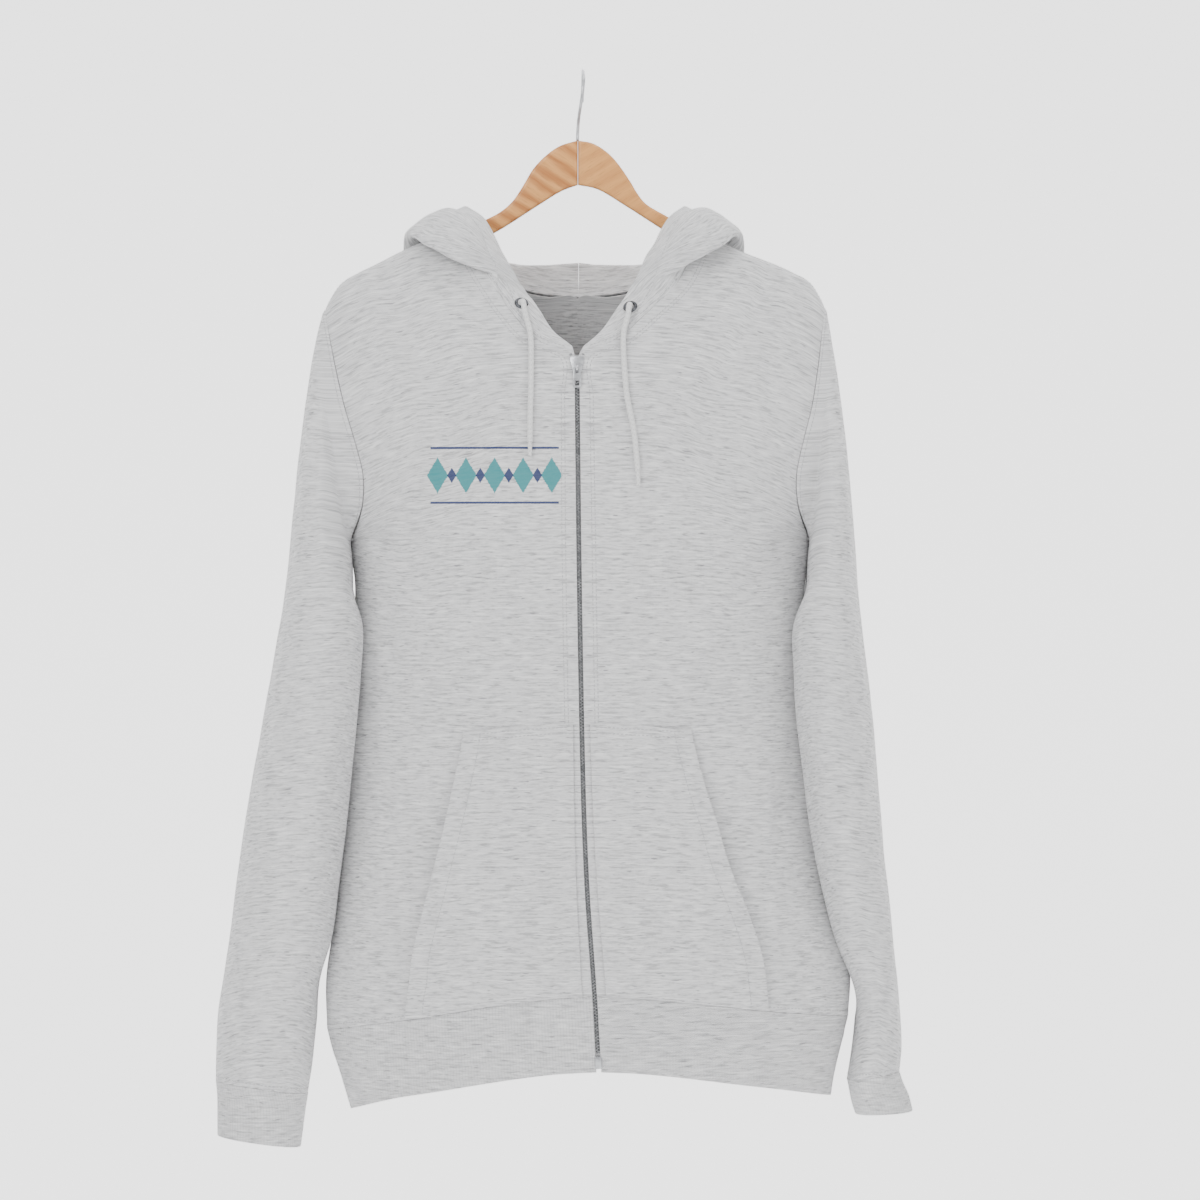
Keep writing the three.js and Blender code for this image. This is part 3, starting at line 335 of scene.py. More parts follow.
SLEEVE_SECTIONS = {
    "right": table("outer_x outer_z inner_x inner_z mid_y deep", [
        (-228, -230, -198, -408, 2, 50),
        (-234, -268, -197, -422, -3, 57),
        (-240, -318, -196, -445, -9, 65),
        (-246, -375, -187, -475, -15, 73),
        (-252, -435, -188, -510, -20, 78),
        (-261, -495, -191, -550, -24, 79),
        (-272, -555, -195, -592, -26, 77),
        (-283, -615, -200, -640, -26, 72),
        (-291, -670, -207, -690, -24, 66),
        (-298, -722, -213, -735, -20, 60),
        (-304, -765, -226, -775, -15, 55),
        (-310, -800, -227, -808, -12, 51),
        (-312, -832, -230, -842, -10, 47),
        (-312, -857, -234, -868, -10, 42),
    ]),
    "left": table("outer_x outer_z inner_x inner_z mid_y deep", [
        (212, -228, 193, -408, 2, 50),
        (218, -266, 192, -422, -3, 57),
        (224, -316, 190, -445, -9, 65),
        (229, -374, 179, -475, -15, 73),
        (233, -434, 179, -510, -20, 78),
        (239, -495, 181, -550, -24, 79),
        (246, -555, 186, -592, -26, 76),
        (251, -615, 192, -640, -26, 71),
        (256, -668, 202, -690, -22, 66),
        (262, -720, 213, -735, -14, 60),
        (267, -765, 231, -778, -6, 55),
        (270, -800, 232, -808, -2, 51),
        (271, -830, 228, -838, 0, 46),
        (269, -850, 225, -857, 0, 41),
    ]),
}
CUFF_SECTIONS = {
    "right": table("outer_x outer_z inner_x inner_z mid_y deep", [
        (-311, -871, -236, -882, -10, 40),
        (-311, -888, -238, -899, -9, 39),
        (-311, -904, -240, -914, -8, 39),
    ]),
    "left": table("outer_x outer_z inner_x inner_z mid_y deep", [
        (273, -861, 227, -868, 1, 39),
        (278, -872, 229, -878, 2, 39),
        (281, -884, 232, -887, 3, 38),
    ]),
}
RING_COUNT = ARMHOLE_STEPS * 2
BODY_CLEARANCE = 2.4


def body_reach(side, y, z):
    """Half the body's width where a sleeve hangs beside it."""
    middle = zip_x(z)
    deep = body_at["front"](z) + SIDE_SEAM_Y if y < SIDE_SEAM_Y else body_at["back"](z) - SIDE_SEAM_Y
    off = min(abs(y - SIDE_SEAM_Y) / deep, 1)
    return abs(mix(middle, body_at[side](z), (1 - off ** ROUNDNESS) ** (1 / ROUNDNESS)))


def ring(side, section):
    points = []
    for i in range(RING_COUNT):
        angle = 2 * math.pi * i / RING_COUNT
        out = math.copysign(abs(math.cos(angle)) ** (2 / ROUNDNESS), math.cos(angle))
        ahead = math.copysign(abs(math.sin(angle)) ** (2 / ROUNDNESS), math.sin(angle))
        x = mix(section["inner_x"], section["outer_x"], (1 + out) / 2)
        z = mix(section["inner_z"], section["outer_z"], (1 + out) / 2)
        y = section["mid_y"] - section["deep"] * ahead
        least = body_reach(side, y, z) + BODY_CLEARANCE if z < UNDERARM_Z - 2 else 0
        points.append((SIGN[side] * max(abs(x), least), y, z))
    return points


HOOD_CLEARANCE = 4
HOOD_WIDTH = {"right": 1, "left": 0.95}
BAND_SECTIONS = table("edge_out edge_z lean", [(5, -236, 1), (20, -224, 3), (33, -206, 5), (46, -187, 7)])
HOOD_STOPS = ("crest", "fall", "low", "turn", "rear", "top", "edge")
HOOD_SECTIONS = table(
    "station " + " ".join(f"{stop}_out {stop}_y {stop}_z" for stop in HOOD_STOPS),
    [
        (4, 94, -37, -152, 98, -42, -156, 103, -45, -163,
         103, -50, -161, 94, -51, -155, 78, -50, -156, 58, -46, -166),
        (5, 103, -20, -134, 116, -26, -142, 127, -30, -150,
         130, -34, -147, 118, -35, -136, 95, -32, -130, 68, -31, -147),
        (6, 109, 0, -126, 128, 3, -135, 143, 8, -143,
         148, 3, -139, 137, -4, -127, 112, -8, -115, 79, -14, -127),
        (8, 96, 46, -150, 122, 68, -200, 132, 82, -250,
         138, 94, -250, 146, 84, -200, 133, 54, -140, 98, 22, -114),
        (10, 54, 58, -164, 68, 78, -268, 76, 90, -348,
         80, 114, -350, 96, 122, -272, 98, 118, -190, 86, 96, -150),
        (12, 0, 62, -162, 0, 80, -280, 0, 90, -390,
         0, 118, -394, 0, 136, -300, 0, 140, -220, 0, 130, -184),
    ],
)
hood_at = {
    key: through(HOOD_SECTIONS, "station", key)
    for key in (f"{stop}_{axis}" for stop in HOOD_STOPS for axis in ("out", "y", "z"))
}


def clear_of_body(point, side, behind):
    x, y, z = point
    ridge = ridge_z[side](abs(x - NECK_MIDDLE_X))
    if z > ridge + HOOD_CLEARANCE:
        return point
    wall = body_y("back" if behind else "front", x, min(z, ridge))
    return (x, max(y, wall + HOOD_CLEARANCE) if behind else min(y, wall - HOOD_CLEARANCE), z)


def centripetal(points, steps):
    """Points on a smooth curve through the given ones, spaced evenly by segment."""
    points = np.array(points, float)
    first = 2 * points[0] - points[1]
    last = 2 * points[-1] - points[-2]
    line = np.vstack([first, points, last])
    curve = []
    count = len(points) - 1
    for k in range(steps + 1):
        where = min(k / steps * count, count - 1e-9)
        i = int(where)
        f = where - i
        p0, p1, p2, p3 = line[i:i + 4]
        d0, d1, d2 = (max(np.linalg.norm(b - a) ** 0.5, 1e-4) for a, b in ((p0, p1), (p1, p2), (p2, p3)))
        m1 = ((p1 - p0) / d0 - (p2 - p0) / (d0 + d1) + (p2 - p1) / d1) * d1
        m2 = ((p2 - p1) / d1 - (p3 - p1) / (d1 + d2) + (p3 - p2) / d2) * d1
        a = 2 * (p1 - p2) + m1 + m2
        b = -3 * (p1 - p2) - 2 * m1 - m2
        curve.append(((a * f + b) * f + m1) * f + p1)
    return np.array(curve)


def hood_section(side, station, seam):
    wide = SIGN[side] * HOOD_WIDTH[side]
    if station <= 3:
        band = BAND_SECTIONS[station]
        x = NECK_MIDDLE_X + band["edge_out"] * wide
        edge = np.array((x, max(body_y("front", x, band["edge_z"]), seam[1] - 4) + band["lean"], band["edge_z"]))
        share = np.linspace(0, 1, HOOD_STEPS + 1)[:, None]
        points = seam + (edge - seam) * share
        points[:, 1] -= np.sin(np.pi * share[:, 0]) * station
        return points
    stops = [tuple(seam)]
    for stop in HOOD_STOPS:
        point = (
            NECK_MIDDLE_X + hood_at[f"{stop}_out"](station) * wide,
            hood_at[f"{stop}_y"](station),
            hood_at[f"{stop}_z"](station),
        )
        if stop in ("fall", "low", "turn") and station != 6:
            point = clear_of_body(point, side, station > 6)
        stops.append(point)
    return centripetal(stops, HOOD_STEPS)


def grid_normals(points, closed=False):
    """Unit normals of a grid of points, rows by columns."""
    along = np.roll(points, -1, 1) - np.roll(points, 1, 1) if closed else np.gradient(points, axis=1)
    normal = np.cross(along, np.gradient(points, axis=0))
    return normal / np.linalg.norm(normal, axis=2, keepdims=True).clip(1e-9)


def spline_rows(points, places, closed=False):
    """Rows at fractional places on smooth curves through the given rows."""
    if closed:
        line = np.concatenate([points[-1:], points, points[:2]])
    else:
        line = np.concatenate([2 * points[:1] - points[1:2], points, 2 * points[-1:] - points[-2:-1]])
    last = len(points) - (1 if closed else 2)
    rows = []
    for where in places:
        i = min(int(where), last)
        f = where - i
        a, b, c, d = line[i:i + 4]
        curve = 2 * b + (c - a) * f + (2 * a - 5 * b + 4 * c - d) * f * f + (3 * b - a - 3 * c + d) * f ** 3
        rows.append(curve / 2)
    return np.array(rows)


EDGE_PARTS = (0.04, 0.1)


def places(count, parts, closed=False):
    """Even parts of each step, with two more close to each end."""
    if closed:
        return np.arange(count * parts) / parts
    even = np.linspace(0, count - 1, (count - 1) * parts + 1)
    near = list(EDGE_PARTS) + [count - 1 - part for part in EDGE_PARTS]
    return np.unique(np.concatenate([even, near]))


def fine(grid, row_parts, column_parts, closed=False):
    rows = spline_rows(np.array(grid, float), places(len(grid), row_parts))
    across = spline_rows(rows.swapaxes(0, 1), places(rows.shape[1], column_parts, closed), closed)
    return across.swapaxes(0, 1)


def run_along(points, axis):
    """Distance along the rows (axis 1) or columns (axis 0) from the first point."""
    steps = np.linalg.norm(np.diff(points, axis=axis), axis=2)
    start = np.zeros_like(np.take(steps, [0], axis=axis))
    return np.concatenate([start, np.cumsum(steps, axis=axis)], axis=axis)


def from_edge(points, edge):
    """Distance from one edge of a grid: first or last column, first or last row."""
    axis = 1 if edge.endswith("column") else 0
    run = run_along(points, axis)
    return run if edge.startswith("first") else np.take(run, [-1], axis=axis) - run


def soft_step(value):
    value = np.clip(value, 0, 1)
    return value * value * (3 - 2 * value)


# Creases seen from in front, behind or the sides, each from one end to the other. A negative depth is a ridge.
CREASES = table("face x0 z0 x1 z1 width depth", [
    # Fronts: slack from the shoulders, over the pockets and above the hem
    ("front", -70, -215, -120, -300, 16, 1.4),
    ("front", -150, -200, -176, -330, 12, 1.6),
    ("front", 96, -205, 128, -318, 15, 1.3),
    ("front", 160, -205, 176, -345, 11, 1.5),
    ("front", -178, -392, -120, -452, 13, 2.2),
    ("front", -168, -420, -92, -505, 18, -1.6),
    ("front", 172, -396, 118, -470, 13, 2.0),
    ("front", 160, -430, 84, -520, 19, -1.5),
    ("front", -38, -330, -55, -560, 20, 1.1),
    ("front", 30, -360, 46, -600, 22, 1.2),
    ("front", -72, -600, -82, -760, 15, 1.5),
    ("front", 58, -590, 74, -765, 16, 1.4),
    ("front", -25, -620, -32, -770, 10, -0.9),
    ("front", 116, -640, 126, -800, 13, 1.3),
    ("front", -176, -560, -160, -770, 15, 1.8),
    ("front", 178, -560, 186, -770, 16, 1.8),
    ("front", -140, -770, -60, -810, 12, 1.1),
    ("front", 60, -790, 150, -800, 13, 1.0),
    # Back: similar slack, with two longer folds from the shoulder blades
    ("back", -150, -215, -165, -350, 14, 1.8),
    ("back", 145, -215, 160, -350, 14, 1.7),
    ("back", -60, -420, -42, -620, 20, 1.6),
    ("back", 55, -410, 40, -640, 22, 1.5),
    ("back", -175, -395, -110, -480, 15, 2.2),
    ("back", 170, -400, 108, -490, 15, 2.1),
    ("back", -150, -600, -130, -790, 16, 1.8),
    ("back", 150, -590, 136, -800, 16, 1.8),
    ("back", -70, -690, -20, -800, 14, 1.3),
    ("back", 70, -700, 30, -800, 13, 1.2),
    # Sleeves: elbow folds slant down from the inside, and cloth gathers above the cuffs
    ("front", -196, -520, -262, -640, 12, 3.2),
    ("front", -205, -600, -286, -705, 14, 2.6),
    ("front", -212, -700, -292, -760, 11, 2.2),
    ("front", -262, -560, -232, -690, 12, -1.8),
    ("front", -228, -760, -300, -815, 9, 1.9),
    ("front", -236, -812, -306, -836, 7, 1.6),
    ("front", -298, -846, -250, -856, 6, 1.3),
    ("front", -212, -300, -236, -430, 11, 2.2),
    ("front", 206, -600, 250, -680, 12, 3.0),
    ("front", 212, -690, 262, -745, 11, 2.3),
    ("front", 222, -500, 214, -640, 10, 1.8),
    ("front", 232, -765, 268, -800, 8, 1.8),
    ("front", 232, -812, 268, -830, 6, 1.5),
    ("front", 204, -300, 220, -430, 10, 2.0),
    ("back", -200, -480, -262, -600, 13, 2.4),
    ("back", -214, -620, -290, -690, 13, 2.2),
    ("back", -240, -760, -304, -800, 9, 1.8),
    ("back", 206, -480, 240, -600, 12, 2.2),
    ("back", 216, -640, 258, -710, 12, 2.2),
    ("back", 234, -770, 268, -806, 8, 1.7),
])
CREASE_ENDS = 0.22
UNEVENNESS = 0.35


def crease_depth(points, normals, only=None):
    """How far each point is pressed in by the creases that face it."""
    x, z = points[..., 0], points[..., 2]
    depth = np.zeros(x.shape)
    facing = {"front": soft_step(-normals[..., 1] * 1.6), "back": soft_step(normals[..., 1] * 1.6)}
    for number, crease in enumerate(CREASES):
        dx, dz = crease["x1"] - crease["x0"], crease["z1"] - crease["z0"]
        long = math.hypot(dx, dz)
        along = ((x - crease["x0"]) * dx + (z - crease["z0"]) * dz) / long ** 2
        bow = 0.06 * long * np.sin(np.pi * np.clip(along, 0, 1)) * (1 if number % 2 else -1)
        off = ((x - crease["x0"]) * dz - (z - crease["z0"]) * dx) / long - bow
        wide = crease["width"] * (1 + UNEVENNESS * np.sin(along * 5 + number))
        ends = soft_step(along / CREASE_ENDS + 0.5) * soft_step((1 - along) / CREASE_ENDS + 0.5)
        trough = np.exp(-((off / wide) ** 2)) - 0.35 * np.exp(-(((off - 1.7 * wide) / wide) ** 2))
        uneven = 1 + UNEVENNESS * np.sin(along * 7 + number * 2)
        depth += crease["depth"] * trough * ends * uneven * facing[crease["face"]]
    return depth


def softness(points, amount, stretch=3.0, size=46.0, seed=0.0):
    """Low unevenness, longer down the cloth than across it."""
    flat = points.reshape(-1, 3)
    values = [
        noise.noise(Vector((x / size + seed, y / size, z / (size * stretch))))
        + 0.4 * noise.noise(Vector((x / size * 2.3, y / size * 2.3 + seed, z / (size * stretch) * 2.6)))
        for x, y, z in flat
    ]
    return amount * np.array(values).reshape(points.shape[:2])


surfaces = {}


def keep(name, points, outward, closed=False):
    """Remembers a finished surface with its normals pointing out of the cloth."""
    normals = grid_normals(points, closed) * outward
    surfaces[name] = {"points": points, "normals": normals, "closed": closed, "outward": outward}
    return surfaces[name]


PANEL_ROW_PARTS = 10
PANEL_COLUMN_PARTS = 8


def moved_off_edge(rim, facing, distance, closed):
    middle = rim.mean(axis=0)
    if closed:
        tangent = np.roll(rim, -1, 0) - np.roll(rim, 1, 0)
    else:
        tangent = np.gradient(rim, axis=0)
    off = np.cross(facing, tangent)
    off /= np.linalg.norm(off, axis=1, keepdims=True)
    inwards = np.sign(np.sum(off * (middle - rim), axis=1, keepdims=True))
    return rim + off * inwards * distance


def panel_grid(face, side, columns):
    grid = np.array([body_row(face, side, row, columns) for row in range(ROW_COUNT + 1)])
    step = SEAM_GAP / 2 * (-1 if face == "front" else 1)
    grid[:BODY_STEPS + 1, -1, 1] += step
    grid[ROW_COUNT, :, 1] += step
    return grid


SEAM_DIP = 0.9
DIP_REACH = 2.5
GATHER_PITCH = 13.0


def seam_dip(points, *edges):
    return sum(SEAM_DIP * np.exp(-((from_edge(points, edge) / DIP_REACH) ** 2)) for edge in edges)


def gathers(points, edge, depth, reach):
    """Small puckers that run out of a rib seam."""
    along = run_along(points, 1)
    waves = np.sin(along * 2 * np.pi / GATHER_PITCH + 1.7 * np.sin(along / 31)) + 0.5 * np.sin(along / 3.1)
    return depth * waves * np.exp(-from_edge(points, edge) / reach)


NECK_ROW = (BODY_STEPS + ZIP_TOP_STEP) * PANEL_ROW_PARTS


def from_neck(points):
    """Distance from the neck edge, which is the upper part of a panel's first column."""
    rim = points[NECK_ROW:, 0]
    flat = points.reshape(-1, 3)
    far = np.full(len(flat), np.inf)
    for place_on_rim in rim:
        far = np.minimum(far, np.linalg.norm(flat - place_on_rim, axis=1))
    return far.reshape(points.shape[:2])


def panel_depth(points, normals, soft, seed=0.0):
    """How deep a body panel is pressed in, calm towards its seams."""
    neck = from_neck(points)
    calm = soft_step(from_edge(points, "last column") / 30) * soft_step(from_edge(points, "last row") / 24)
    calm *= soft_step(neck / 22)
    depth = (crease_depth(points, normals) + softness(points, soft, seed=seed)) * calm
    depth += seam_dip(points, "last column", "last row") + SEAM_DIP * np.exp(-((neck / DIP_REACH) ** 2))
    return depth, gathers(points, "first row", 0.45, 12) * calm


def make_surfaces():
    """Works out every cloth surface from the tables, with its folds and creases."""
    coarse = {}
    for side in SIDES:
        coarse["front", side] = panel_grid("front", side, FRONT_COLUMNS)
        coarse["back", side] = panel_grid("back", side, FRONT_COLUMNS - 1)
    for side in SIDES:
        points = fine(coarse["front", side], PANEL_ROW_PARTS, PANEL_COLUMN_PARTS)
        normals = grid_normals(points) * SIGN[side]
        beside_zip = soft_step(from_edge(points, "first column") / 26)
        depth, gathered = panel_depth(points, normals, 0.9)
        depth[:NECK_ROW] *= beside_zip[:NECK_ROW]
        keep(f"front_{side}", points - normals * (depth + gathered * beside_zip)[..., None], SIGN[side])
    halves = {side: fine(coarse["back", side], PANEL_ROW_PARTS, PANEL_COLUMN_PARTS) for side in SIDES}
    facing = {side: grid_normals(points) * -SIGN[side] for side, points in halves.items()}
    middle = facing["right"][:NECK_ROW + 3, 0] + facing["left"][:NECK_ROW + 3, 0]
    middle /= np.linalg.norm(middle, axis=1, keepdims=True)
    for side, points in halves.items():
        facing[side][:NECK_ROW + 3, 0] = middle
        depth, gathered = panel_depth(points, facing[side], 1.2, 5.0)
        keep(f"back_{side}", points - facing[side] * (depth + gathered)[..., None], -SIGN[side])
    make_hem()
    for side in SIDES:
        make_pocket(side)
        make_sleeve(side, coarse)
        make_hood(side, coarse)


RIB_COLUMN_PARTS = 38
CUFF_COLUMN_PARTS = 20
RIB_PITCH = 2.6
RIB_DEPTH = 0.3


def ribs(points):
    """Fine upright ribs of the hem and cuffs."""
    return RIB_DEPTH * (1 - np.abs(np.sin(run_along(points * (1, 1, 0), 1) * np.pi / RIB_PITCH)))


def make_hem():
    points = fine([hem_row(k) for k in range(HEM_STEPS + 1)], 4, RIB_COLUMN_PARTS)
    normals = grid_normals(points)
    calm = soft_step(from_edge(points, "first column") / 26) * soft_step(from_edge(points, "last column") / 26)
    depth = crease_depth(points, normals) * 0.6 * calm + gathers(points, "first row", 0.3, 16) * calm + ribs(points)
    keep("hem_band", points - normals * depth[..., None], 1)


POCKET_INSET = 0.35


def make_pocket(side):
    """The pocket is made from the front's own finished points, moved out."""
    front = surfaces[f"front_{side}"]
    rows = np.searchsorted(places(ROW_COUNT + 1, PANEL_ROW_PARTS), POCKET_ROWS) + 1
    columns = np.searchsorted(places(FRONT_COLUMNS + 1, PANEL_COLUMN_PARTS), POCKET_COLUMN) + 1
    base, normals = front["points"][:rows, :columns], front["normals"][:rows, :columns]
    down = np.linspace(0, 1, rows)[:, None]
    across = (run_along(base, 1) / run_along(base, 1)[:, -1:])
    first = base[:, 0] + (base[:, PANEL_COLUMN_PARTS] - base[:, 0]) * POCKET_INSET
    start = np.searchsorted(across[0], POCKET_INSET / POCKET_COLUMN * 1.05)
    base = np.concatenate([first[:, None], base[:, start:]], axis=1)
    normals = np.concatenate([normals[:, :1], normals[:, start:]], axis=1)
    across = run_along(base, 1) / run_along(base, 1)[:, -1:]
    bulge = POCKET_MOUTH_GAP * across ** 2 * np.sin(np.pi * down)
    folded = 0.5 * (1 - soft_step(from_edge(base, "last column") / 12)) - 0.4 * np.exp(
        -(((from_edge(base, "last column") - 12) / 3) ** 2))
    height = SEAM_GAP + CLOTH_THICKNESS + bulge + folded * np.sin(np.pi * down)
    keep(f"pocket_{side}", base + normals * height[..., None], front["outward"])


SLEEVE_SETTLE = 2.0


def make_sleeve(side, coarse):
    front, back = coarse["front", side], coarse["back", side]
    outward = SIGN[side]
    front_normals = grid_normals(front) * outward
    back_normals = grid_normals(back) * -outward
    rim = [front[i, -1] for i in range(ROW_COUNT, BODY_STEPS - 1, -1)]
    rim += [back[i, -1] for i in range(BODY_STEPS + 1, ROW_COUNT)]
    facing = [front_normals[i, -1] for i in range(ROW_COUNT, BODY_STEPS - 1, -1)]
    facing += [back_normals[i, -1] for i in range(BODY_STEPS + 1, ROW_COUNT)]
    start = moved_off_edge(np.array(rim), np.array(facing), SEAM_GAP, True)
    start[0, 1], start[ARMHOLE_STEPS, 1] = 0, SIDE_SEAM_Y
    rings = [start] + [np.array(ring(side, section)) for section in SLEEVE_SECTIONS[side]]
    points = fine(rings, 11, 4, closed=True)
    normals = grid_normals(points, True) * outward
    calm = soft_step(from_edge(points, "first row") / 40) * soft_step(from_edge(points, "last row") / 10 + 0.1)
    depth = (crease_depth(points, normals) + softness(points, 1.1, 2.2, 38.0, 9.0)) * calm
    depth += seam_dip(points, "first row") + gathers(points, "last row", 0.8, 20)
    beside_body = soft_step(-SIGN[side] * normals[..., 0] * 1.6) * soft_step(from_edge(points, "first row") / 12)
    depth = depth * (1 - beside_body) - SLEEVE_SETTLE * beside_body * soft_step((points[..., 2] + 830) / 60)
    keep(f"sleeve_{side}", points - normals * depth[..., None], outward, True)
    wrist = rings[-1]
    cuff_rings = [np.array(ring(side, section)) for section in CUFF_SECTIONS[side]]
    down = cuff_rings[0] - wrist
    start = wrist + down / np.linalg.norm(down, axis=1, keepdims=True) * SEAM_GAP
    points = fine([start] + cuff_rings, 5, CUFF_COLUMN_PARTS, closed=True)
    depth = gathers(points, "first row", 0.4, 16) + ribs(points)
    normals = grid_normals(points, True) * outward
    keep(f"cuff_{side}", points - normals * depth[..., None], outward, True)


HOOD_SOFT = 1.6
CASING_WIDTH = 19.0
CASING_GROOVE = 0.9


def make_hood(side, coarse):
    front, back = coarse["front", side], coarse["back", side]
    first_row = BODY_STEPS + ZIP_TOP_STEP
    front_normals = grid_normals(front) * SIGN[side]
    back_normals = grid_normals(back) * -SIGN[side]
    rim = [front[i, 0] for i in range(first_row, ROW_COUNT + 1)]
    rim += [back[i, 0] for i in range(ROW_COUNT - 1, first_row - 1, -1)]
    facing = [front_normals[i, 0] for i in range(first_row, ROW_COUNT + 1)]
    facing += [back_normals[i, 0] for i in range(ROW_COUNT - 1, first_row - 1, -1)]
    seam = moved_off_edge(np.array(rim), np.array(facing), SEAM_GAP, False)
    seam[0] = np.array(rim[0]) + (0, 0, SEAM_GAP)
    seam[NECK_STEPS // 2, 1] = 0
    seam[NECK_STEPS, 0] = NECK_MIDDLE_X
    seam[NECK_STEPS, 2] = rim[NECK_STEPS][2] + SEAM_GAP
    stations = [hood_section(side, station, point) for station, point in enumerate(seam)]
    stations[NECK_STEPS][:, 0] = NECK_MIDDLE_X + SIGN[side] * SEAM_GAP / 2
    points = fine(stations, 7, 8)
    outward = -SIGN[side]
    normals = grid_normals(points) * outward
    calm = soft_step(from_edge(points, "first column") / 16) * soft_step(from_edge(points, "first row") / 30)
    calm *= soft_step(from_edge(points, "last row") / 16 + 0.2)
    edge = from_edge(points, "last column")
    casing = CASING_GROOVE * np.exp(-(((edge - CASING_WIDTH) / 2.2) ** 2))
    casing -= CASING_GROOVE * 0.6 * (1 - soft_step((edge - CASING_WIDTH) / 4 + 1))
    casing *= soft_step((from_edge(points, "first column") - 3) / 8) * soft_step(from_edge(points, "first row") / 14)
    depth = softness(points, HOOD_SOFT, 1.0, 34.0, 3.0) * calm + casing + seam_dip(points, "first column")
    keep(f"hood_{side}", points - normals * depth[..., None], outward)


# Shared ways of making pieces


def select_only(*objects):
    bpy.ops.object.select_all(action="DESELECT")
    for obj in objects:
        obj.select_set(True)
    bpy.context.view_layer.objects.active = objects[0]


def apply_all(obj):
    select_only(obj)
    for modifier in list(obj.modifiers):
        bpy.ops.object.modifier_apply(modifier=modifier.name)


def smooth(obj, degrees=None):
    select_only(obj)
    if degrees is None:
        bpy.ops.object.shade_smooth()
    else:
        bpy.ops.object.shade_smooth_by_angle(angle=math.radians(degrees))


def finish_piece(obj, material, node=None, body="garment"):
    obj.data.materials.clear()
    obj.data.materials.append(material)
    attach(obj, body)
    if node:
        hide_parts(*([node] if isinstance(node, str) else node))


def grid_faces(rows, columns, closed, flip):
    index = np.arange(rows * columns).reshape(rows, columns)
    if closed:
        index = np.concatenate([index, index[:, :1]], axis=1)
    quads = np.stack([index[:-1, :-1], index[:-1, 1:], index[1:, 1:], index[1:, :-1]], axis=-1).reshape(-1, 4)
    return quads[:, ::-1] if flip else quads


def grid_object(name, points, closed=False, flip=False, turned=False, level=False):
    """A mesh of one grid in millimetres, with a UV map in metres: u along a row, v up the rows.

    A level map leaves each row's rise and each column's lean out, so that the knit's courses run level."""
    mesh = bpy.data.meshes.new(name)
    rows, columns = points.shape[:2]
    faces = grid_faces(rows, columns, closed, flip)
    mesh.from_pydata((points.reshape(-1, 3) * MM).tolist(), [], faces.tolist())
    around = np.concatenate([points, points[:, :1]], axis=1) if closed else points
    u, v = run_along(around, 1) * MM, run_along(around, 0) * MM
    if level:
        rising = np.sign(around[-1, 0, 2] - around[0, 0, 2])
        u = run_along(around * (1, 1, 0), 1) * MM
        v = run_along(around * (0, 1, 1), 0) * MM + rising * around[:1, :, 2] * MM
    if turned:
        u, v = v, u
    places_on_cloth = np.stack([u, v], axis=-1)
    corners = grid_faces(rows, around.shape[1], False, flip)
    flat = places_on_cloth.reshape(-1, 2)[corners.reshape(-1)]
    layer = mesh.uv_layers.new(name="cloth")
    layer.uv.foreach_set("vector", flat.astype(np.float32).reshape(-1))
    obj = bpy.data.objects.new(name, mesh)
    bpy.context.scene.collection.objects.link(obj)
    return obj


RIM_ROUNDING = 0.7


def cloth_piece(name, material, thickness, rests_on=(), turned=False, parts=None):
    """A thin shell on its surface or surfaces, with rounded edges, declared with the size it was cut to."""
    made, wide, long, area = [], 0.0, 0.0, 0.0
    for part in parts or (name,):
        surface = surfaces[part]
        points, closed = surface["points"], surface["closed"]
        made.append(grid_object(f"{name}_cloth", points, closed, surface["outward"] < 0, turned, not turned))
        around = np.concatenate([points, points[:, :1]], axis=1) if closed else points
        across = np.diff(around, axis=1)[:-1]
        up = np.diff(around, axis=0)[:, :-1]
        wide += run_along(around, 1)[:, -1].max() * MM
        long = max(long, run_along(around, 0)[-1].max() * MM)
        area += np.linalg.norm(np.cross(across, up), axis=2).sum() * MM * MM
    obj = made[0]
    if len(made) > 1:
        for loop in made[1].data.uv_layers[0].uv:
            loop.vector = (-loop.vector[0], loop.vector[1])
        select_only(*made)
        bpy.ops.object.join()
        bpy.ops.object.mode_set(mode="EDIT")
        bpy.ops.mesh.select_all(action="SELECT")
        bpy.ops.mesh.remove_doubles(threshold=0.00002)
        bpy.ops.object.mode_set(mode="OBJECT")
    solid = obj.modifiers.new("thickness", "SOLIDIFY")
    solid.thickness = thickness * MM
    solid.offset = -1
    edge = obj.modifiers.new("rounded edges", "BEVEL")
    edge.width = RIM_ROUNDING * MM
    edge.segments = 2
    edge.limit_method = "ANGLE"
    edge.angle_limit = math.radians(60)
    apply_all(obj)
    smooth(obj)
    finish_piece(obj, material, name)
    area = clamp(area, 0.3 * wide * long, wide * long)
    sheets[name] = {"piece": obj, "flat": (wide, long), "area": area, "rests_on": rests_on, "with": []}
    return obj


sheets = {}


def goes_with(name, *objects):
    sheets[name]["with"].extend(objects)


def tube_points(path, radii, sides):
    """Rings round a path in millimetres, turned as little as possible from one to the next."""
    path = np.array(path, float)
    tangent = np.gradient(path, axis=0)
    tangent /= np.linalg.norm(tangent, axis=1, keepdims=True)
    side = np.cross(tangent[0], (0, 1, 0) if abs(tangent[0][1]) < 0.8 else (1, 0, 0))
    rings = []
    angles = np.arange(sides) * 2 * np.pi / sides
    for point, along, radius in zip(path, tangent, np.broadcast_to(radii, len(path))):
        side = side - along * np.dot(side, along)
        side /= np.linalg.norm(side)
        up = np.cross(along, side)
        rings.append(point + radius * (np.cos(angles)[:, None] * side + np.sin(angles)[:, None] * up))
    return np.array(rings)


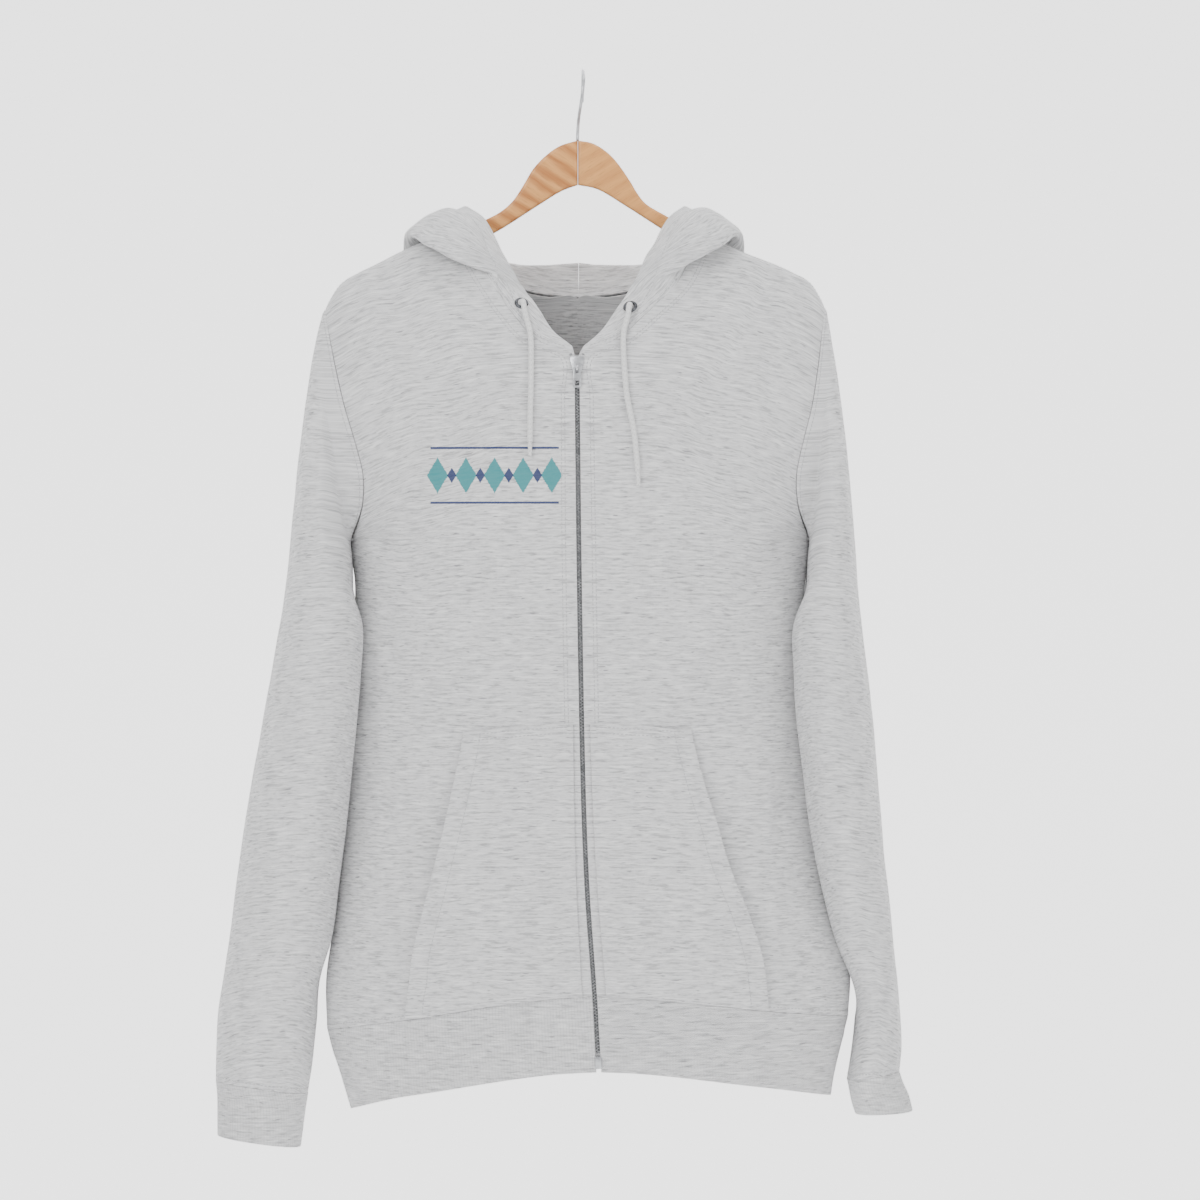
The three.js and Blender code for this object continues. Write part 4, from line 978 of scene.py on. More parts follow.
def close_ends(obj):
    """Fills the open loops at both ends of a tube and makes every face point outwards."""
    select_only(obj)
    bpy.ops.object.mode_set(mode="EDIT")
    bpy.ops.mesh.select_all(action="DESELECT")
    bpy.ops.mesh.select_mode(type="EDGE")
    bpy.ops.mesh.select_non_manifold(extend=False, use_wire=False, use_boundary=True, use_multi_face=False,
                                     use_non_contiguous=False, use_verts=False)
    bpy.ops.mesh.edge_face_add()
    bpy.ops.mesh.select_all(action="SELECT")
    bpy.ops.mesh.normals_make_consistent(inside=False)
    bpy.ops.object.mode_set(mode="OBJECT")


def tube_piece(name, path, radii, sides, rounded=0.8):
    """A closed tube with slightly rounded ends."""
    path = np.array(path, float)
    radii = np.broadcast_to(np.array(radii, float), len(path)).copy()
    first = path[0] + (path[0] - path[1]) / np.linalg.norm(path[1] - path[0]) * rounded
    last = path[-1] + (path[-1] - path[-2]) / np.linalg.norm(path[-1] - path[-2]) * rounded
    path = np.concatenate([[first], path, [last]])
    radii = np.concatenate([[radii[0] * 0.6], radii, [radii[-1] * 0.6]])
    obj = grid_object(name, tube_points(path, radii, sides), closed=True)
    close_ends(obj)
    smooth(obj, 50)
    return obj


def node_copy(node, name, rounding, degrees=35):
    """A merged copy of a solid from the frame, with worn edges."""
    select_only(NODES[node])
    mesh = NODES[node].data.copy()
    obj = bpy.data.objects.new(name, mesh)
    bpy.context.scene.collection.objects.link(obj)
    select_only(obj)
    bpy.ops.object.mode_set(mode="EDIT")
    bpy.ops.mesh.select_all(action="SELECT")
    bpy.ops.mesh.remove_doubles(threshold=0.00001)
    bpy.ops.mesh.normals_make_consistent(inside=False)
    bpy.ops.mesh.dissolve_limited(angle_limit=math.radians(2))
    bpy.ops.object.mode_set(mode="OBJECT")
    if rounding:
        edge = obj.modifiers.new("worn edges", "BEVEL")
        edge.width = rounding * MM
        edge.segments = 2
        edge.limit_method = "ANGLE"
        edge.angle_limit = math.radians(40)
        apply_all(obj)
    smooth(obj, degrees)
    return obj


def copies(name, shape, centres, along, outward):
    """Places one small mesh many times: its X along, its Z outward."""
    template = shape.data
    corner = np.array([vertex.co[:] for vertex in template.vertices])
    faces = [list(face.vertices) for face in template.polygons]
    x = along / np.linalg.norm(along, axis=1, keepdims=True)
    z = outward - x * np.sum(outward * x, axis=1, keepdims=True)
    z /= np.linalg.norm(z, axis=1, keepdims=True)
    y = np.cross(z, x)
    turned = corner[None, :, 0:1] * x[:, None] + corner[None, :, 1:2] * y[:, None] + corner[None, :, 2:3] * z[:, None]
    points = (turned + centres[:, None] * MM).reshape(-1, 3)
    count = len(corner)
    every = [[index + k * count for index in face] for k in range(len(centres)) for face in faces]
    mesh = bpy.data.meshes.new(name)
    mesh.from_pydata(points.tolist(), [], every)
    obj = bpy.data.objects.new(name, mesh)
    bpy.context.scene.collection.objects.link(obj)
    select_only(obj)
    return obj


def spaced(points, normals, pitch, closed=False):
    """Even places along a line: centres, directions and normals."""
    run = np.concatenate([[0], np.cumsum(np.linalg.norm(np.diff(points, axis=0), axis=1))])
    count = max(int(run[-1] / pitch), 2)
    at = (np.arange(count) + 0.5) * run[-1] / count

    def along_run(values, where):
        return np.stack([np.interp(where, run, values[:, k]) for k in range(3)], axis=1)

    direction = along_run(points, at + pitch * 0.3) - along_run(points, at - pitch * 0.3)
    return along_run(points, at), direction, along_run(normals, at)


def line_on(name, edge, distance, first=0.0, last=0.0):
    """A line on a surface at a distance from one of its edges, with its normals."""
    surface = surfaces[name]
    points, normals = surface["points"], surface["normals"]
    far = from_edge(points, edge)
    if edge.endswith("row"):
        points, normals, far = points.swapaxes(0, 1), normals.swapaxes(0, 1), far.T
    if edge.startswith("last"):
        points, normals, far = points[:, ::-1], normals[:, ::-1], far[:, ::-1]
    place = np.array([[np.interp(distance, row_far, row[:, k]) for k in range(3)] for row, row_far in zip(points, far)])
    facing = np.array([[np.interp(distance, row_far, row[:, k]) for k in range(3)] for row, row_far in zip(normals, far)])
    run = np.concatenate([[0], np.cumsum(np.linalg.norm(np.diff(place, axis=0), axis=1))])
    inside = (run >= first) & (run <= run[-1] - last)
    if surface["closed"] and edge.endswith("row"):
        return np.concatenate([place, place[:1]]), np.concatenate([facing, facing[:1]])
    return place[inside], facing[inside]


# Materials


def socket(group, name, kind, inward=True, default=None):
    made = group.interface.new_socket(name=name, in_out="INPUT" if inward else "OUTPUT", socket_type=kind)
    if default is not None:
        made.default_value = default
    return made


def new_group(name, inputs, outputs):
    group = bpy.data.node_groups.new(name, "ShaderNodeTree")
    for label, kind, default in inputs:
        socket(group, label, kind, True, default)
    for label, kind in outputs:
        socket(group, label, kind, False)
    nodes = group.nodes
    return group, nodes.new("NodeGroupInput"), nodes.new("NodeGroupOutput")


class Wiring:
    """Short calls for placing nodes in one tree."""

    def __init__(self, tree):
        self.tree = tree

    def node(self, kind, **settings):
        made = self.tree.nodes.new(kind)
        for key, value in settings.items():
            setattr(made, key, value)
        return made

    def join(self, source, target):
        self.tree.links.new(source, target)

    def put(self, value, target):
        if isinstance(value, bpy.types.NodeSocket):
            self.join(value, target)
        else:
            target.default_value = value

    def math(self, operation, first, second=0.0, clamped=False):
        made = self.node("ShaderNodeMath", operation=operation, use_clamp=clamped)
        self.put(first, made.inputs[0])
        self.put(second, made.inputs[1])
        return made.outputs[0]

    def scaled(self, vector, scale, turn=(0, 0, 0)):
        made = self.node("ShaderNodeMapping")
        self.put(vector, made.inputs["Vector"])
        made.inputs["Scale"].default_value = scale
        made.inputs["Rotation"].default_value = turn
        return made.outputs[0]

    def noise(self, vector, detail=2.0, roughness=0.5, distortion=0.0):
        made = self.node("ShaderNodeTexNoise")
        self.put(vector, made.inputs["Vector"])
        made.inputs["Scale"].default_value = 1
        made.inputs["Detail"].default_value = detail
        made.inputs["Roughness"].default_value = roughness
        made.inputs["Distortion"].default_value = distortion
        return made.outputs["Fac"]

    def band(self, value, low, high):
        made = self.node("ShaderNodeMapRange", interpolation_type="SMOOTHSTEP")
        self.put(value, made.inputs["Value"])
        made.inputs["From Min"].default_value = low
        made.inputs["From Max"].default_value = high
        return made.outputs["Result"]

    def blend(self, factor, first, second, kind="MIX"):
        made = self.node("ShaderNodeMix", data_type="RGBA", blend_type=kind)
        self.put(factor, made.inputs["Factor"])
        self.put(first, made.inputs["A"])
        self.put(second, made.inputs["B"])
        return made.outputs["Result"]

    def parts(self, vector):
        made = self.node("ShaderNodeSeparateXYZ")
        self.put(vector, made.inputs[0])
        return made.outputs


def heather_group():
    """Marled fleece knit: short streaks along the courses, dark and light flecks, and the knit's own surface."""
    group, given, out = new_group(
        "heather_knit",
        [("Vector", "NodeSocketVector", None), ("Base", "NodeSocketColor", None), ("Dark", "NodeSocketColor", None),
         ("Light", "NodeSocketColor", None), ("Strength", "NodeSocketFloat", 1.0)],
        [("Color", "NodeSocketColor"), ("Height", "NodeSocketFloat")],
    )
    w = Wiring(group)
    cloth = given.outputs["Vector"]
    streaks = w.band(w.noise(w.scaled(cloth, (62, 520, 1)), 3, 0.6), 0.44, 0.7)
    finer = w.band(w.noise(w.scaled(cloth, (150, 900, 1)), 2, 0.6), 0.46, 0.7)
    flecks = w.band(w.noise(w.scaled(cloth, (95, 560, 3)), 1), 0.67, 0.74)
    pale = w.band(w.noise(w.scaled(cloth, (55, 480, 5)), 2), 0.54, 0.66)
    cloudy = w.band(w.noise(w.scaled(cloth, (9, 14, 1)), 2), 0.3, 0.75)
    strength = given.outputs["Strength"]
    share = w.math("ADD", w.math("MULTIPLY", streaks, 0.62), w.math("MULTIPLY", finer, 0.34))
    share = w.math("ADD", share, w.math("MULTIPLY", flecks, 0.9))
    share = w.math("ADD", share, w.math("MULTIPLY", cloudy, 0.07))
    share = w.math("MULTIPLY", share, strength, True)
    colour = w.blend(share, given.outputs["Base"], given.outputs["Dark"])
    colour = w.blend(w.math("MULTIPLY", pale, 0.7), colour, given.outputs["Light"])
    u, v, _ = w.parts(cloth)
    wale = w.math("ABSOLUTE", w.math("SINE", w.math("MULTIPLY", u, math.pi / 0.0013)))
    course = w.math("ABSOLUTE", w.math("SINE", w.math("MULTIPLY", v, math.pi / 0.0010)))
    height = w.math("ADD", w.math("MULTIPLY", wale, 0.5), w.math("MULTIPLY", course, 0.3))
    height = w.math("ADD", height, w.math("MULTIPLY", w.noise(w.scaled(cloth, (900, 900, 1)), 2), 0.8))
    w.join(colour, out.inputs["Color"])
    w.join(height, out.inputs["Height"])
    return group


def motif_group():
    """Masks of a plain row of lozenges with a thin rule above and below, on Object coordinates."""
    group, given, out = new_group(
        "lozenge_row",
        [("Vector", "NodeSocketVector", None)],
        [("Large", "NodeSocketFloat"), ("Small", "NodeSocketFloat")],
    )
    w = Wiring(group)
    x, _, z = w.parts(given.outputs["Vector"])
    wear_and_edge_shade = w.math("MULTIPLY", w.math("SUBTRACT", w.noise(w.scaled(given.outputs["Vector"], (900, 900, 900)), 3), 0.5), 0.25)

    def lozenges(start, end, half_x, half_z):
        step = w.math("DIVIDE", w.math("SUBTRACT", x, start * MM), MOTIF_PITCH * MM)
        across = w.math("ABSOLUTE", w.math("SUBTRACT", w.math("FRACT", step), 0.5))
        across = w.math("MULTIPLY", across, MOTIF_PITCH / half_x)
        up = w.math("ABSOLUTE", w.math("DIVIDE", w.math("SUBTRACT", z, MOTIF_Z * MM), half_z * MM))
        far = w.math("ADD", w.math("ADD", across, up), wear_and_edge_shade)
        shape = w.band(far, 1.04, 0.96)
        inside = w.math("MULTIPLY", w.math("GREATER_THAN", x, start * MM), w.math("LESS_THAN", x, end * MM))
        return w.math("MULTIPLY", shape, inside)

    large = lozenges(-134, -134 + 5 * MOTIF_PITCH, 9, 15)
    small = lozenges(-122, -122 + 4 * MOTIF_PITCH, 4, 6.5)
    for rule_z in MOTIF_RULES:
        off = w.math("ABSOLUTE", w.math("SUBTRACT", z, rule_z * MM))
        rule = w.band(w.math("ADD", off, w.math("MULTIPLY", wear_and_edge_shade, 0.002)), 0.0011, 0.0008)
        wide = w.math("LESS_THAN", w.math("ABSOLUTE", w.math("ADD", x, 74 * MM)), 54 * MM)
        small = w.math("MAXIMUM", small, w.math("MULTIPLY", rule, wide))
    w.join(large, out.inputs["Large"])
    w.join(small, out.inputs["Small"])
    return group


MOTIF_PITCH = 24
MOTIF_Z = -345
MOTIF_RULES = (-322, -368)


def new_material(name, roughness, metallic=0.0, **values):
    material = bpy.data.materials.new(name)
    material.use_nodes = True
    shader = material.node_tree.nodes["Principled BSDF"]
    shader.inputs["Roughness"].default_value = roughness
    shader.inputs["Metallic"].default_value = metallic
    for label, value in values.items():
        shader.inputs[label.replace("_", " ")].default_value = value
    return material, Wiring(material.node_tree), shader


def place(w, output):
    return w.node("ShaderNodeTexCoord").outputs[output]


def add_bump(w, shader, height, strength, distance):
    bump = w.node("ShaderNodeBump")
    bump.inputs["Strength"].default_value = strength
    bump.inputs["Distance"].default_value = distance
    w.join(height, bump.inputs["Height"])
    w.join(bump.outputs["Normal"], shader.inputs["Normal"])


def knit_material(name, base, dark, light, strength=1.0, rib=False, motif=None, motif_colours=()):
    material, w, shader = new_material(name, 0.92, Sheen_Weight=0.18, Sheen_Roughness=0.5, Specular_IOR_Level=0.2)
    cloth = place(w, "UV")
    knit = w.node("ShaderNodeGroup", node_tree=bpy.data.node_groups["heather_knit"])
    w.join(cloth, knit.inputs["Vector"])
    for label, value in (("Base", base), ("Dark", dark), ("Light", light), ("Strength", strength)):
        knit.inputs[label].default_value = value
    colour, height = knit.outputs["Color"], knit.outputs["Height"]
    if rib:
        u = w.parts(cloth)[0]
        groove = w.math("ABSOLUTE", w.math("SINE", w.math("MULTIPLY", u, math.pi / (RIB_PITCH * MM))))
        # Painted shade: the rib's grooves are darkened towards the dark fibre colour; the same grooves also drive the
        # bump.
        colour = w.blend(w.math("MULTIPLY", w.band(groove, 0.4, 0.0), 0.35), colour, dark)
        height = w.math("ADD", w.math("MULTIPLY", groove, 1.5), height)
    if motif:
        masks = w.node("ShaderNodeGroup", node_tree=motif)
        w.join(place(w, "Object"), masks.inputs["Vector"])
        outside = w.band(w.parts(w.node("ShaderNodeNewGeometry").outputs["Normal"])[1], 0.1, -0.1)
        for label, ink in zip(("Large", "Small"), motif_colours):
            share = w.math("MULTIPLY", w.math("MULTIPLY", masks.outputs[label], outside), 0.94)
            colour = w.blend(share, colour, ink)
    w.join(colour, shader.inputs["Base Color"])
    add_bump(w, shader, height, 0.35, 0.0004)
    return material


def tape_material(name, base, dark):
    material, w, shader = new_material(name, 0.85, Sheen_Weight=0.1, Specular_IOR_Level=0.25)
    where = place(w, "Object")
    x, _, z = w.parts(where)
    twill = w.math("SINE", w.math("MULTIPLY", w.math("ADD", x, z), 2 * math.pi / 0.0012))
    weave = w.math("MULTIPLY", w.math("ABSOLUTE", twill), w.math("ABSOLUTE", w.math(
        "SINE", w.math("MULTIPLY", z, math.pi / 0.0008))))
    # Partly painted shade: the weave's hollows are darker, and random noise adds tone of its own.
    share = w.math("ADD", w.math("MULTIPLY", weave, 0.5), w.math("MULTIPLY", w.noise(w.scaled(where, (200, 200, 600))), 0.4))
    w.join(w.blend(share, dark, base), shader.inputs["Base Color"])
    add_bump(w, shader, weave, 0.4, 0.0003)
    return material


def braid_material(name, base, dark, around):
    """A braided cord on its UV map: u runs round it and v along it."""
    material, w, shader = new_material(name, 0.88, Sheen_Weight=0.2, Specular_IOR_Level=0.2)
    cord = place(w, "UV")
    u, v, _ = w.parts(cord)
    turns = 2 * math.pi * BRAID_STRANDS / around
    one = w.math("SINE", w.math("ADD", w.math("MULTIPLY", u, turns), w.math("MULTIPLY", v, 2 * math.pi / BRAID_LENGTH)))
    other = w.math("SINE", w.math("SUBTRACT", w.math("MULTIPLY", u, turns), w.math("MULTIPLY", v, 2 * math.pi / BRAID_LENGTH)))
    height = w.math("MAXIMUM", one, other)
    # Painted shade: the cord is darkened in the grooves between its strands, with random specks of tone.
    groove = w.band(height, 0.35, -0.3)
    speck = w.math("MULTIPLY", w.noise(w.scaled(cord, (1500, 900, 1)), 2), 0.12)
    w.join(w.blend(w.math("ADD", w.math("MULTIPLY", groove, 0.22), speck), base, dark), shader.inputs["Base Color"])
    add_bump(w, shader, height, 0.5, 0.0004)
    return material


BRAID_STRANDS = 4
BRAID_LENGTH = 0.0042


def metal_material(name, base, dark, roughness):
    material, w, shader = new_material(name, roughness, 1.0)
    where = place(w, "Object")
    smear = w.noise(w.scaled(where, (180, 180, 260)), 4, 0.6)
    scratches = w.noise(w.scaled(where, (2600, 2600, 240)), 3, 0.6)
    w.join(w.blend(w.band(smear, 0.35, 0.75), base, dark), shader.inputs["Base Color"])
    rough = w.math("ADD", w.math("MULTIPLY", scratches, 0.22), roughness - 0.1)
    w.join(w.math("ADD", rough, w.math("MULTIPLY", smear, 0.1)), shader.inputs["Roughness"])
    add_bump(w, shader, scratches, 0.12, 0.0001)
    return material


def thread_material(name, base, dark):
    material, w, shader = new_material(name, 0.75, Sheen_Weight=0.15)
    where = place(w, "Object")
    x, _, z = w.parts(where)
    ply = w.math("ABSOLUTE", w.math("SINE", w.math("MULTIPLY", w.math("ADD", x, z), math.pi / 0.0006)))
    # Partly painted shade: the thread is darker between its plies, and random noise adds tone of its own.
    share = w.math("ADD", w.math("MULTIPLY", ply, 0.5), w.math("MULTIPLY", w.noise(w.scaled(where, (400, 400, 400))), 0.5))
    w.join(w.blend(share, dark, base), shader.inputs["Base Color"])
    add_bump(w, shader, ply, 0.4, 0.0002)
    return material


def wood_group():
    """Long grain with fine pores. The vector has the grain along X."""
    group, given, out = new_group(
        "hanger_grain",
        [("Vector", "NodeSocketVector", None), ("Figure", "NodeSocketFloat", 1.0)],
        [("Grain", "NodeSocketFloat"), ("Pores", "NodeSocketFloat"), ("Height", "NodeSocketFloat")],
    )
    w = Wiring(group)
    along = given.outputs["Vector"]
    wander = w.noise(w.scaled(along, (14, 60, 60)), 3, 0.6)
    rings = w.math("ADD", w.math("MULTIPLY", w.parts(along)[2], 520), w.math("MULTIPLY", wander, 9.0))
    rings = w.math("ADD", rings, w.math("MULTIPLY", w.parts(along)[1], 180))
    grain = w.math("ADD", w.math("MULTIPLY", w.math("SINE", rings), 0.5), 0.5)
    fine_lines = w.noise(w.scaled(along, (35, 900, 900)), 4, 0.7)
    pores = w.band(w.noise(w.scaled(along, (90, 1900, 1900)), 2), 0.62, 0.72)
    mixed = w.math("ADD", w.math("MULTIPLY", w.math("MULTIPLY", grain, 0.6), given.outputs["Figure"]),
                   w.math("MULTIPLY", fine_lines, 0.6), True)
    w.join(mixed, out.inputs["Grain"])
    w.join(pores, out.inputs["Pores"])
    w.join(w.math("SUBTRACT", fine_lines, pores), out.inputs["Height"])
    return group


def wood_material(name, pale, dark, turn, figure):
    material, w, shader = new_material(name, 0.42, Coat_Weight=0.25, Coat_Roughness=0.3)
    where = place(w, "Object")
    grain = w.node("ShaderNodeGroup", node_tree=bpy.data.node_groups["hanger_grain"])
    w.join(w.scaled(where, (1, 1, 1), (0, turn, 0)), grain.inputs["Vector"])
    grain.inputs["Figure"].default_value = figure
    colour = w.blend(grain.outputs["Grain"], pale, dark)
    colour = w.blend(w.math("MULTIPLY", grain.outputs["Pores"], 0.5), colour, [part * 0.45 for part in dark[:3]] + [1])
    # Painted shade: where the surface turns away from the flat front and back faces, on the rounded edges, the wood is
    # darkened.
    facing = w.math("ABSOLUTE", w.parts(w.node("ShaderNodeNewGeometry").outputs["Normal"])[1])
    wear_and_edge_shade = w.math("MULTIPLY", w.band(facing, 0.9, 0.4), 0.45)
    colour = w.blend(wear_and_edge_shade, colour, [part * 0.8 for part in dark[:3]] + [1])
    w.join(colour, shader.inputs["Base Color"])
    w.join(w.math("ADD", w.math("MULTIPLY", grain.outputs["Grain"], 0.16), 0.34), shader.inputs["Roughness"])
    add_bump(w, shader, grain.outputs["Height"], 0.15, 0.0003)
    return material


def plain_stage_material(name, colour, glow):
    material, w, shader = new_material(name, 0.9, Emission_Color=(1, 1, 1, 1), Emission_Strength=glow)
    speck = w.noise(w.scaled(place(w, "Object"), (3, 3, 3)), 2)
    w.join(w.blend(w.math("MULTIPLY", speck, 0.06), colour, [part * 0.9 for part in colour[:3]] + [1]),
           shader.inputs["Base Color"])
    return material


# The drawcord's routes, as in the frame, in metres
CORD_DIAMETER = 0.0047
TIP_DIAMETER = 0.0034
CORD_ROUTES = {
    "right": [
        (-0.0517, -0.0561, -0.2), (-0.0511, -0.0584, -0.1982), (-0.0504, -0.0612, -0.1983),
        (-0.0499, -0.0632, -0.2004), (-0.0492, -0.0644, -0.2042), (-0.0483, -0.0653, -0.209),
        (-0.0468, -0.0668, -0.2145), (-0.0451, -0.0684, -0.2205), (-0.0439, -0.0702, -0.2275),
        (-0.0434, -0.072, -0.2355), (-0.0433, -0.0741, -0.245), (-0.0434, -0.076, -0.255),
        (-0.0434, -0.0777, -0.265), (-0.0436, -0.079, -0.275), (-0.0439, -0.0803, -0.286),
        (-0.0441, -0.0815, -0.297), (-0.0442, -0.0826, -0.308), (-0.0442, -0.0835, -0.317),
    ],
    "left": [
        (0.04, -0.0569, -0.2028), (0.0396, -0.0593, -0.201), (0.0392, -0.062, -0.2011),
        (0.0388, -0.064, -0.2032), (0.0384, -0.065, -0.2066), (0.0377, -0.0659, -0.211),
        (0.0363, -0.0673, -0.216), (0.0349, -0.0687, -0.221), (0.0342, -0.0703, -0.228),
        (0.034, -0.072, -0.236), (0.0344, -0.0741, -0.246), (0.035, -0.0759, -0.255),
        (0.0356, -0.0772, -0.263), (0.0363, -0.0786, -0.272), (0.0375, -0.0796, -0.281),
        (0.0391, -0.0806, -0.289), (0.041, -0.0815, -0.298), (0.0426, -0.0822, -0.306),
        (0.0437, -0.0829, -0.314), (0.0446, -0.0838, -0.3235), (0.0455, -0.0846, -0.333),
        (0.0462, -0.0852, -0.3415),
    ],
}
TIP_ROUTES = {
    "right": [(-0.0442, -0.0836, -0.3174), (-0.0442, -0.084, -0.323), (-0.0442, -0.0844, -0.3285)],
    "left": [(0.04625, -0.0853, -0.3419), (0.0465, -0.0857, -0.3477), (0.0468, -0.0862, -0.3536)],
}

# Edges of the hanger's two glued halves, in millimetres as (x, z), from the joint out and back in
HANGER_EDGES = {
    "right": [
        (-4.55, -58.2), (-19, -62.5), (-31, -70.5), (-42.5, -82.5), (-51.5, -97.5), (-60.4, -110.5), (-71, -119.5),
        (-84.2, -126.4), (-96, -133.6), (-114, -141.9), (-134, -148.5), (-154, -156.9), (-174, -167.2),
        (-189, -175.2), (-199, -181.4), (-203, -187), (-201.5, -192.5), (-194, -192.5), (-174, -179.5),
        (-134, -161), (-104, -149), (-76.5, -137.4), (-40, -114.5), (-18, -101), (-4.55, -96),
    ],
    "left": [
        (-4.25, -58.2), (8, -60.5), (19, -67), (28, -75.7), (40, -92.7), (46.5, -103.5), (53.6, -112.2),
        (72.3, -123.3), (84, -131.4), (96, -139.5), (116, -149.6), (136, -157.9), (156, -165.6), (171, -172),
        (184, -179.5), (190.5, -185), (190, -190.5), (184, -191.5), (166, -183), (136, -170), (106, -156),
        (86, -144.8), (69.7, -135.2), (35, -113), (12, -99.5), (-4.25, -96),
    ],
}
HANGER_THICKNESS = 11.0
HANGER_ROUNDING = 2.5
HOOK_RADIUS = 1.4
HOOK_STEM = [(-4.7, 0, -57.8), (-4.6, 0, -52), (-4.2, -2.6, -46), (-3.6, -8, -39.5), (-2.7, -13.8, -33.5)]
HOOK_BEND = 20.4
HOOK_TURNS = [
    (202, -1.5), (180, -0.4), (160, 0.3), (140, 0.7), (120, 0.5), (105, 0.2), (90, 0), (72, 0), (52, -0.1),
    (32, -0.3), (12, -0.5), (-12, -0.8),
]


def size(name, default, description, low=0.0):
    return bpy.props.FloatProperty(name=name, description=description, default=default, min=low, subtype="DISTANCE",
                                   unit="LENGTH", precision=4)


def colour(name, default, description):
    return bpy.props.FloatVectorProperty(name=name, description=description, default=(*default, 1.0), size=4, min=0,
                                         max=1, subtype="COLOR")


class HoodieSizes(bpy.types.PropertyGroup):
    """Sizes that someone sewing or restyling the hoodie would change."""

    cloth: size("Cloth thickness", CLOTH_THICKNESS * MM, "Thickness of the fleece knit", 0.001)
    rib: size("Rib thickness", RIB_THICKNESS * MM, "Thickness of the hem and cuffs", 0.001)
    stitch: size("Stitch pitch", 0.0034, "Distance from one stitch to the next", 0.001)
    stitch_length: size("Stitch length", 0.0026, "Length of one stitch that shows", 0.0005)
    tooth: size("Tooth pitch", 0.0026, "Distance between teeth on one side of the zip", 0.001)
    cord: size("Cord diameter", CORD_DIAMETER, "Diameter of the drawcord", 0.001)
    hook: size("Hook wire radius", HOOK_RADIUS * MM, "Radius of the hook's wire", 0.0005)


class HoodieColours(bpy.types.PropertyGroup):
    """Colours of the cloth, thread, metal and wood."""

    cloth: colour("Cloth", (0.72, 0.72, 0.725), "Ground of the heather knit")
    cloth_dark: colour("Dark fibres", (0.3, 0.3, 0.31), "Darker fibres in the knit")
    cloth_light: colour("Light fibres", (0.86, 0.86, 0.86), "Lighter fibres in the knit")
    rib: colour("Rib", (0.7, 0.7, 0.705), "Ground of the hem and cuffs")
    thread: colour("Thread", (0.62, 0.62, 0.635), "Sewing thread")
    cord: colour("Drawcord", (0.84, 0.84, 0.83), "Cotton drawcord")
    tape: colour("Zip tape", (0.5, 0.505, 0.52), "Woven zip tape")
    teeth: colour("Zip teeth", (0.36, 0.365, 0.375), "Teeth and stops of the zip")
    dark_metal: colour("Dark metal", (0.13, 0.135, 0.145), "Eyelets")
    bright_metal: colour("Bright metal", (0.62, 0.63, 0.65), "Slider, pull tab, end box and hook")
    wood: colour("Pale wood", (0.86, 0.42, 0.125), "Pale figure of the hanger")
    wood_dark: colour("Dark wood", (0.42, 0.14, 0.025), "Darker grain of the hanger")
    teal: colour("Large lozenges", (0.03, 0.25, 0.27), "Large lozenges on the chest")
    navy: colour("Small lozenges", (0.02, 0.035, 0.12), "Small lozenges and rules on the chest")


class HoodieStage(bpy.types.PropertyGroup):
    """Floor, backdrop, lights and camera."""

    floor: bpy.props.FloatProperty(name="Floor height", description="Height of the floor under the hook",
                                   default=-1.75, subtype="DISTANCE", unit="LENGTH")
    far: size("Camera distance", 5.0, "Distance from the camera to the hanger", 1.0)
    lens: bpy.props.FloatProperty(name="Lens", description="Focal length in millimetres", default=176.0, min=20)
    light: bpy.props.FloatProperty(name="Light", description="Strength of the soft lights", default=1.0, min=0)


def add_area_light(name, spot, target, wide, power):
    data = bpy.data.lights.new(name, "AREA")
    data.shape = "SQUARE"
    data.size = wide
    data.energy = power
    light = bpy.data.objects.new(name, data)
    bpy.context.scene.collection.objects.link(light)
    light.location = spot
    light.rotation_euler = (Vector(target) - Vector(spot)).to_track_quat("-Z", "Y").to_euler()
    return light


CAMERA_PLACE = (0.01445, -0.44965)
BACKDROP_PLACE = 7


class HOODIE_OT_stage(bpy.types.Operator):
    """Sets up the camera, the soft lights, the pale floor and the backdrop."""

    bl_idname = "hoodie.stage"
    bl_label = "Stage"

    def execute(self, context):
        stage = context.scene.hoodie_stage
        data = bpy.data.cameras.new("camera")
        data.lens = stage.lens
        data.sensor_width = 36
        camera = bpy.data.objects.new("camera", data)
        context.scene.collection.objects.link(camera)
        camera.location = (CAMERA_PLACE[0], -stage.far, CAMERA_PLACE[1])
        camera.rotation_euler = (math.radians(90), 0, 0)
        context.scene.camera = camera
        bpy.ops.object.select_all(action="DESELECT")
        bpy.ops.mesh.primitive_plane_add(size=30, location=(0, 0, stage.floor))
        floor = context.object
        floor.name = "floor"
        bpy.ops.mesh.primitive_plane_add(size=30, location=(0, BACKDROP_PLACE, 0), rotation=(math.radians(90), 0, 0))
        backdrop = context.object
        backdrop.name = "backdrop"
        finish = {floor: plain_stage_material("pale_floor", (0.88, 0.88, 0.88, 1), 0.3),
                  backdrop: plain_stage_material("pale_backdrop", (0.92, 0.92, 0.92, 1), 1.6)}
        for obj, material in finish.items():
            obj.data.materials.append(material)
            select_only(obj)
            bpy.ops.object.transform_apply(location=True, rotation=True, scale=True)
        add_area_light("key", (-1.6, -2.6, 1.1), (0, 0, -0.45), 1.6, 54 * stage.light)
        add_area_light("fill", (2.2, -2.4, 0.2), (0, 0, -0.5), 2.2, 28 * stage.light)
        add_area_light("top", (0.2, -0.3, 1.9), (0, 0, -0.3), 1.5, 24 * stage.light)
        add_area_light("behind", (0.5, 1.3, 0.8), (0, 0, -0.4), 1.5, 12 * stage.light)
        world = bpy.data.worlds.new("soft_room")
        world.use_nodes = True
        world.node_tree.nodes["Background"].inputs["Color"].default_value = (1, 1, 1, 1)
        world.node_tree.nodes["Background"].inputs["Strength"].default_value = 0.8 * stage.light
        context.scene.world = world
        return {"FINISHED"}


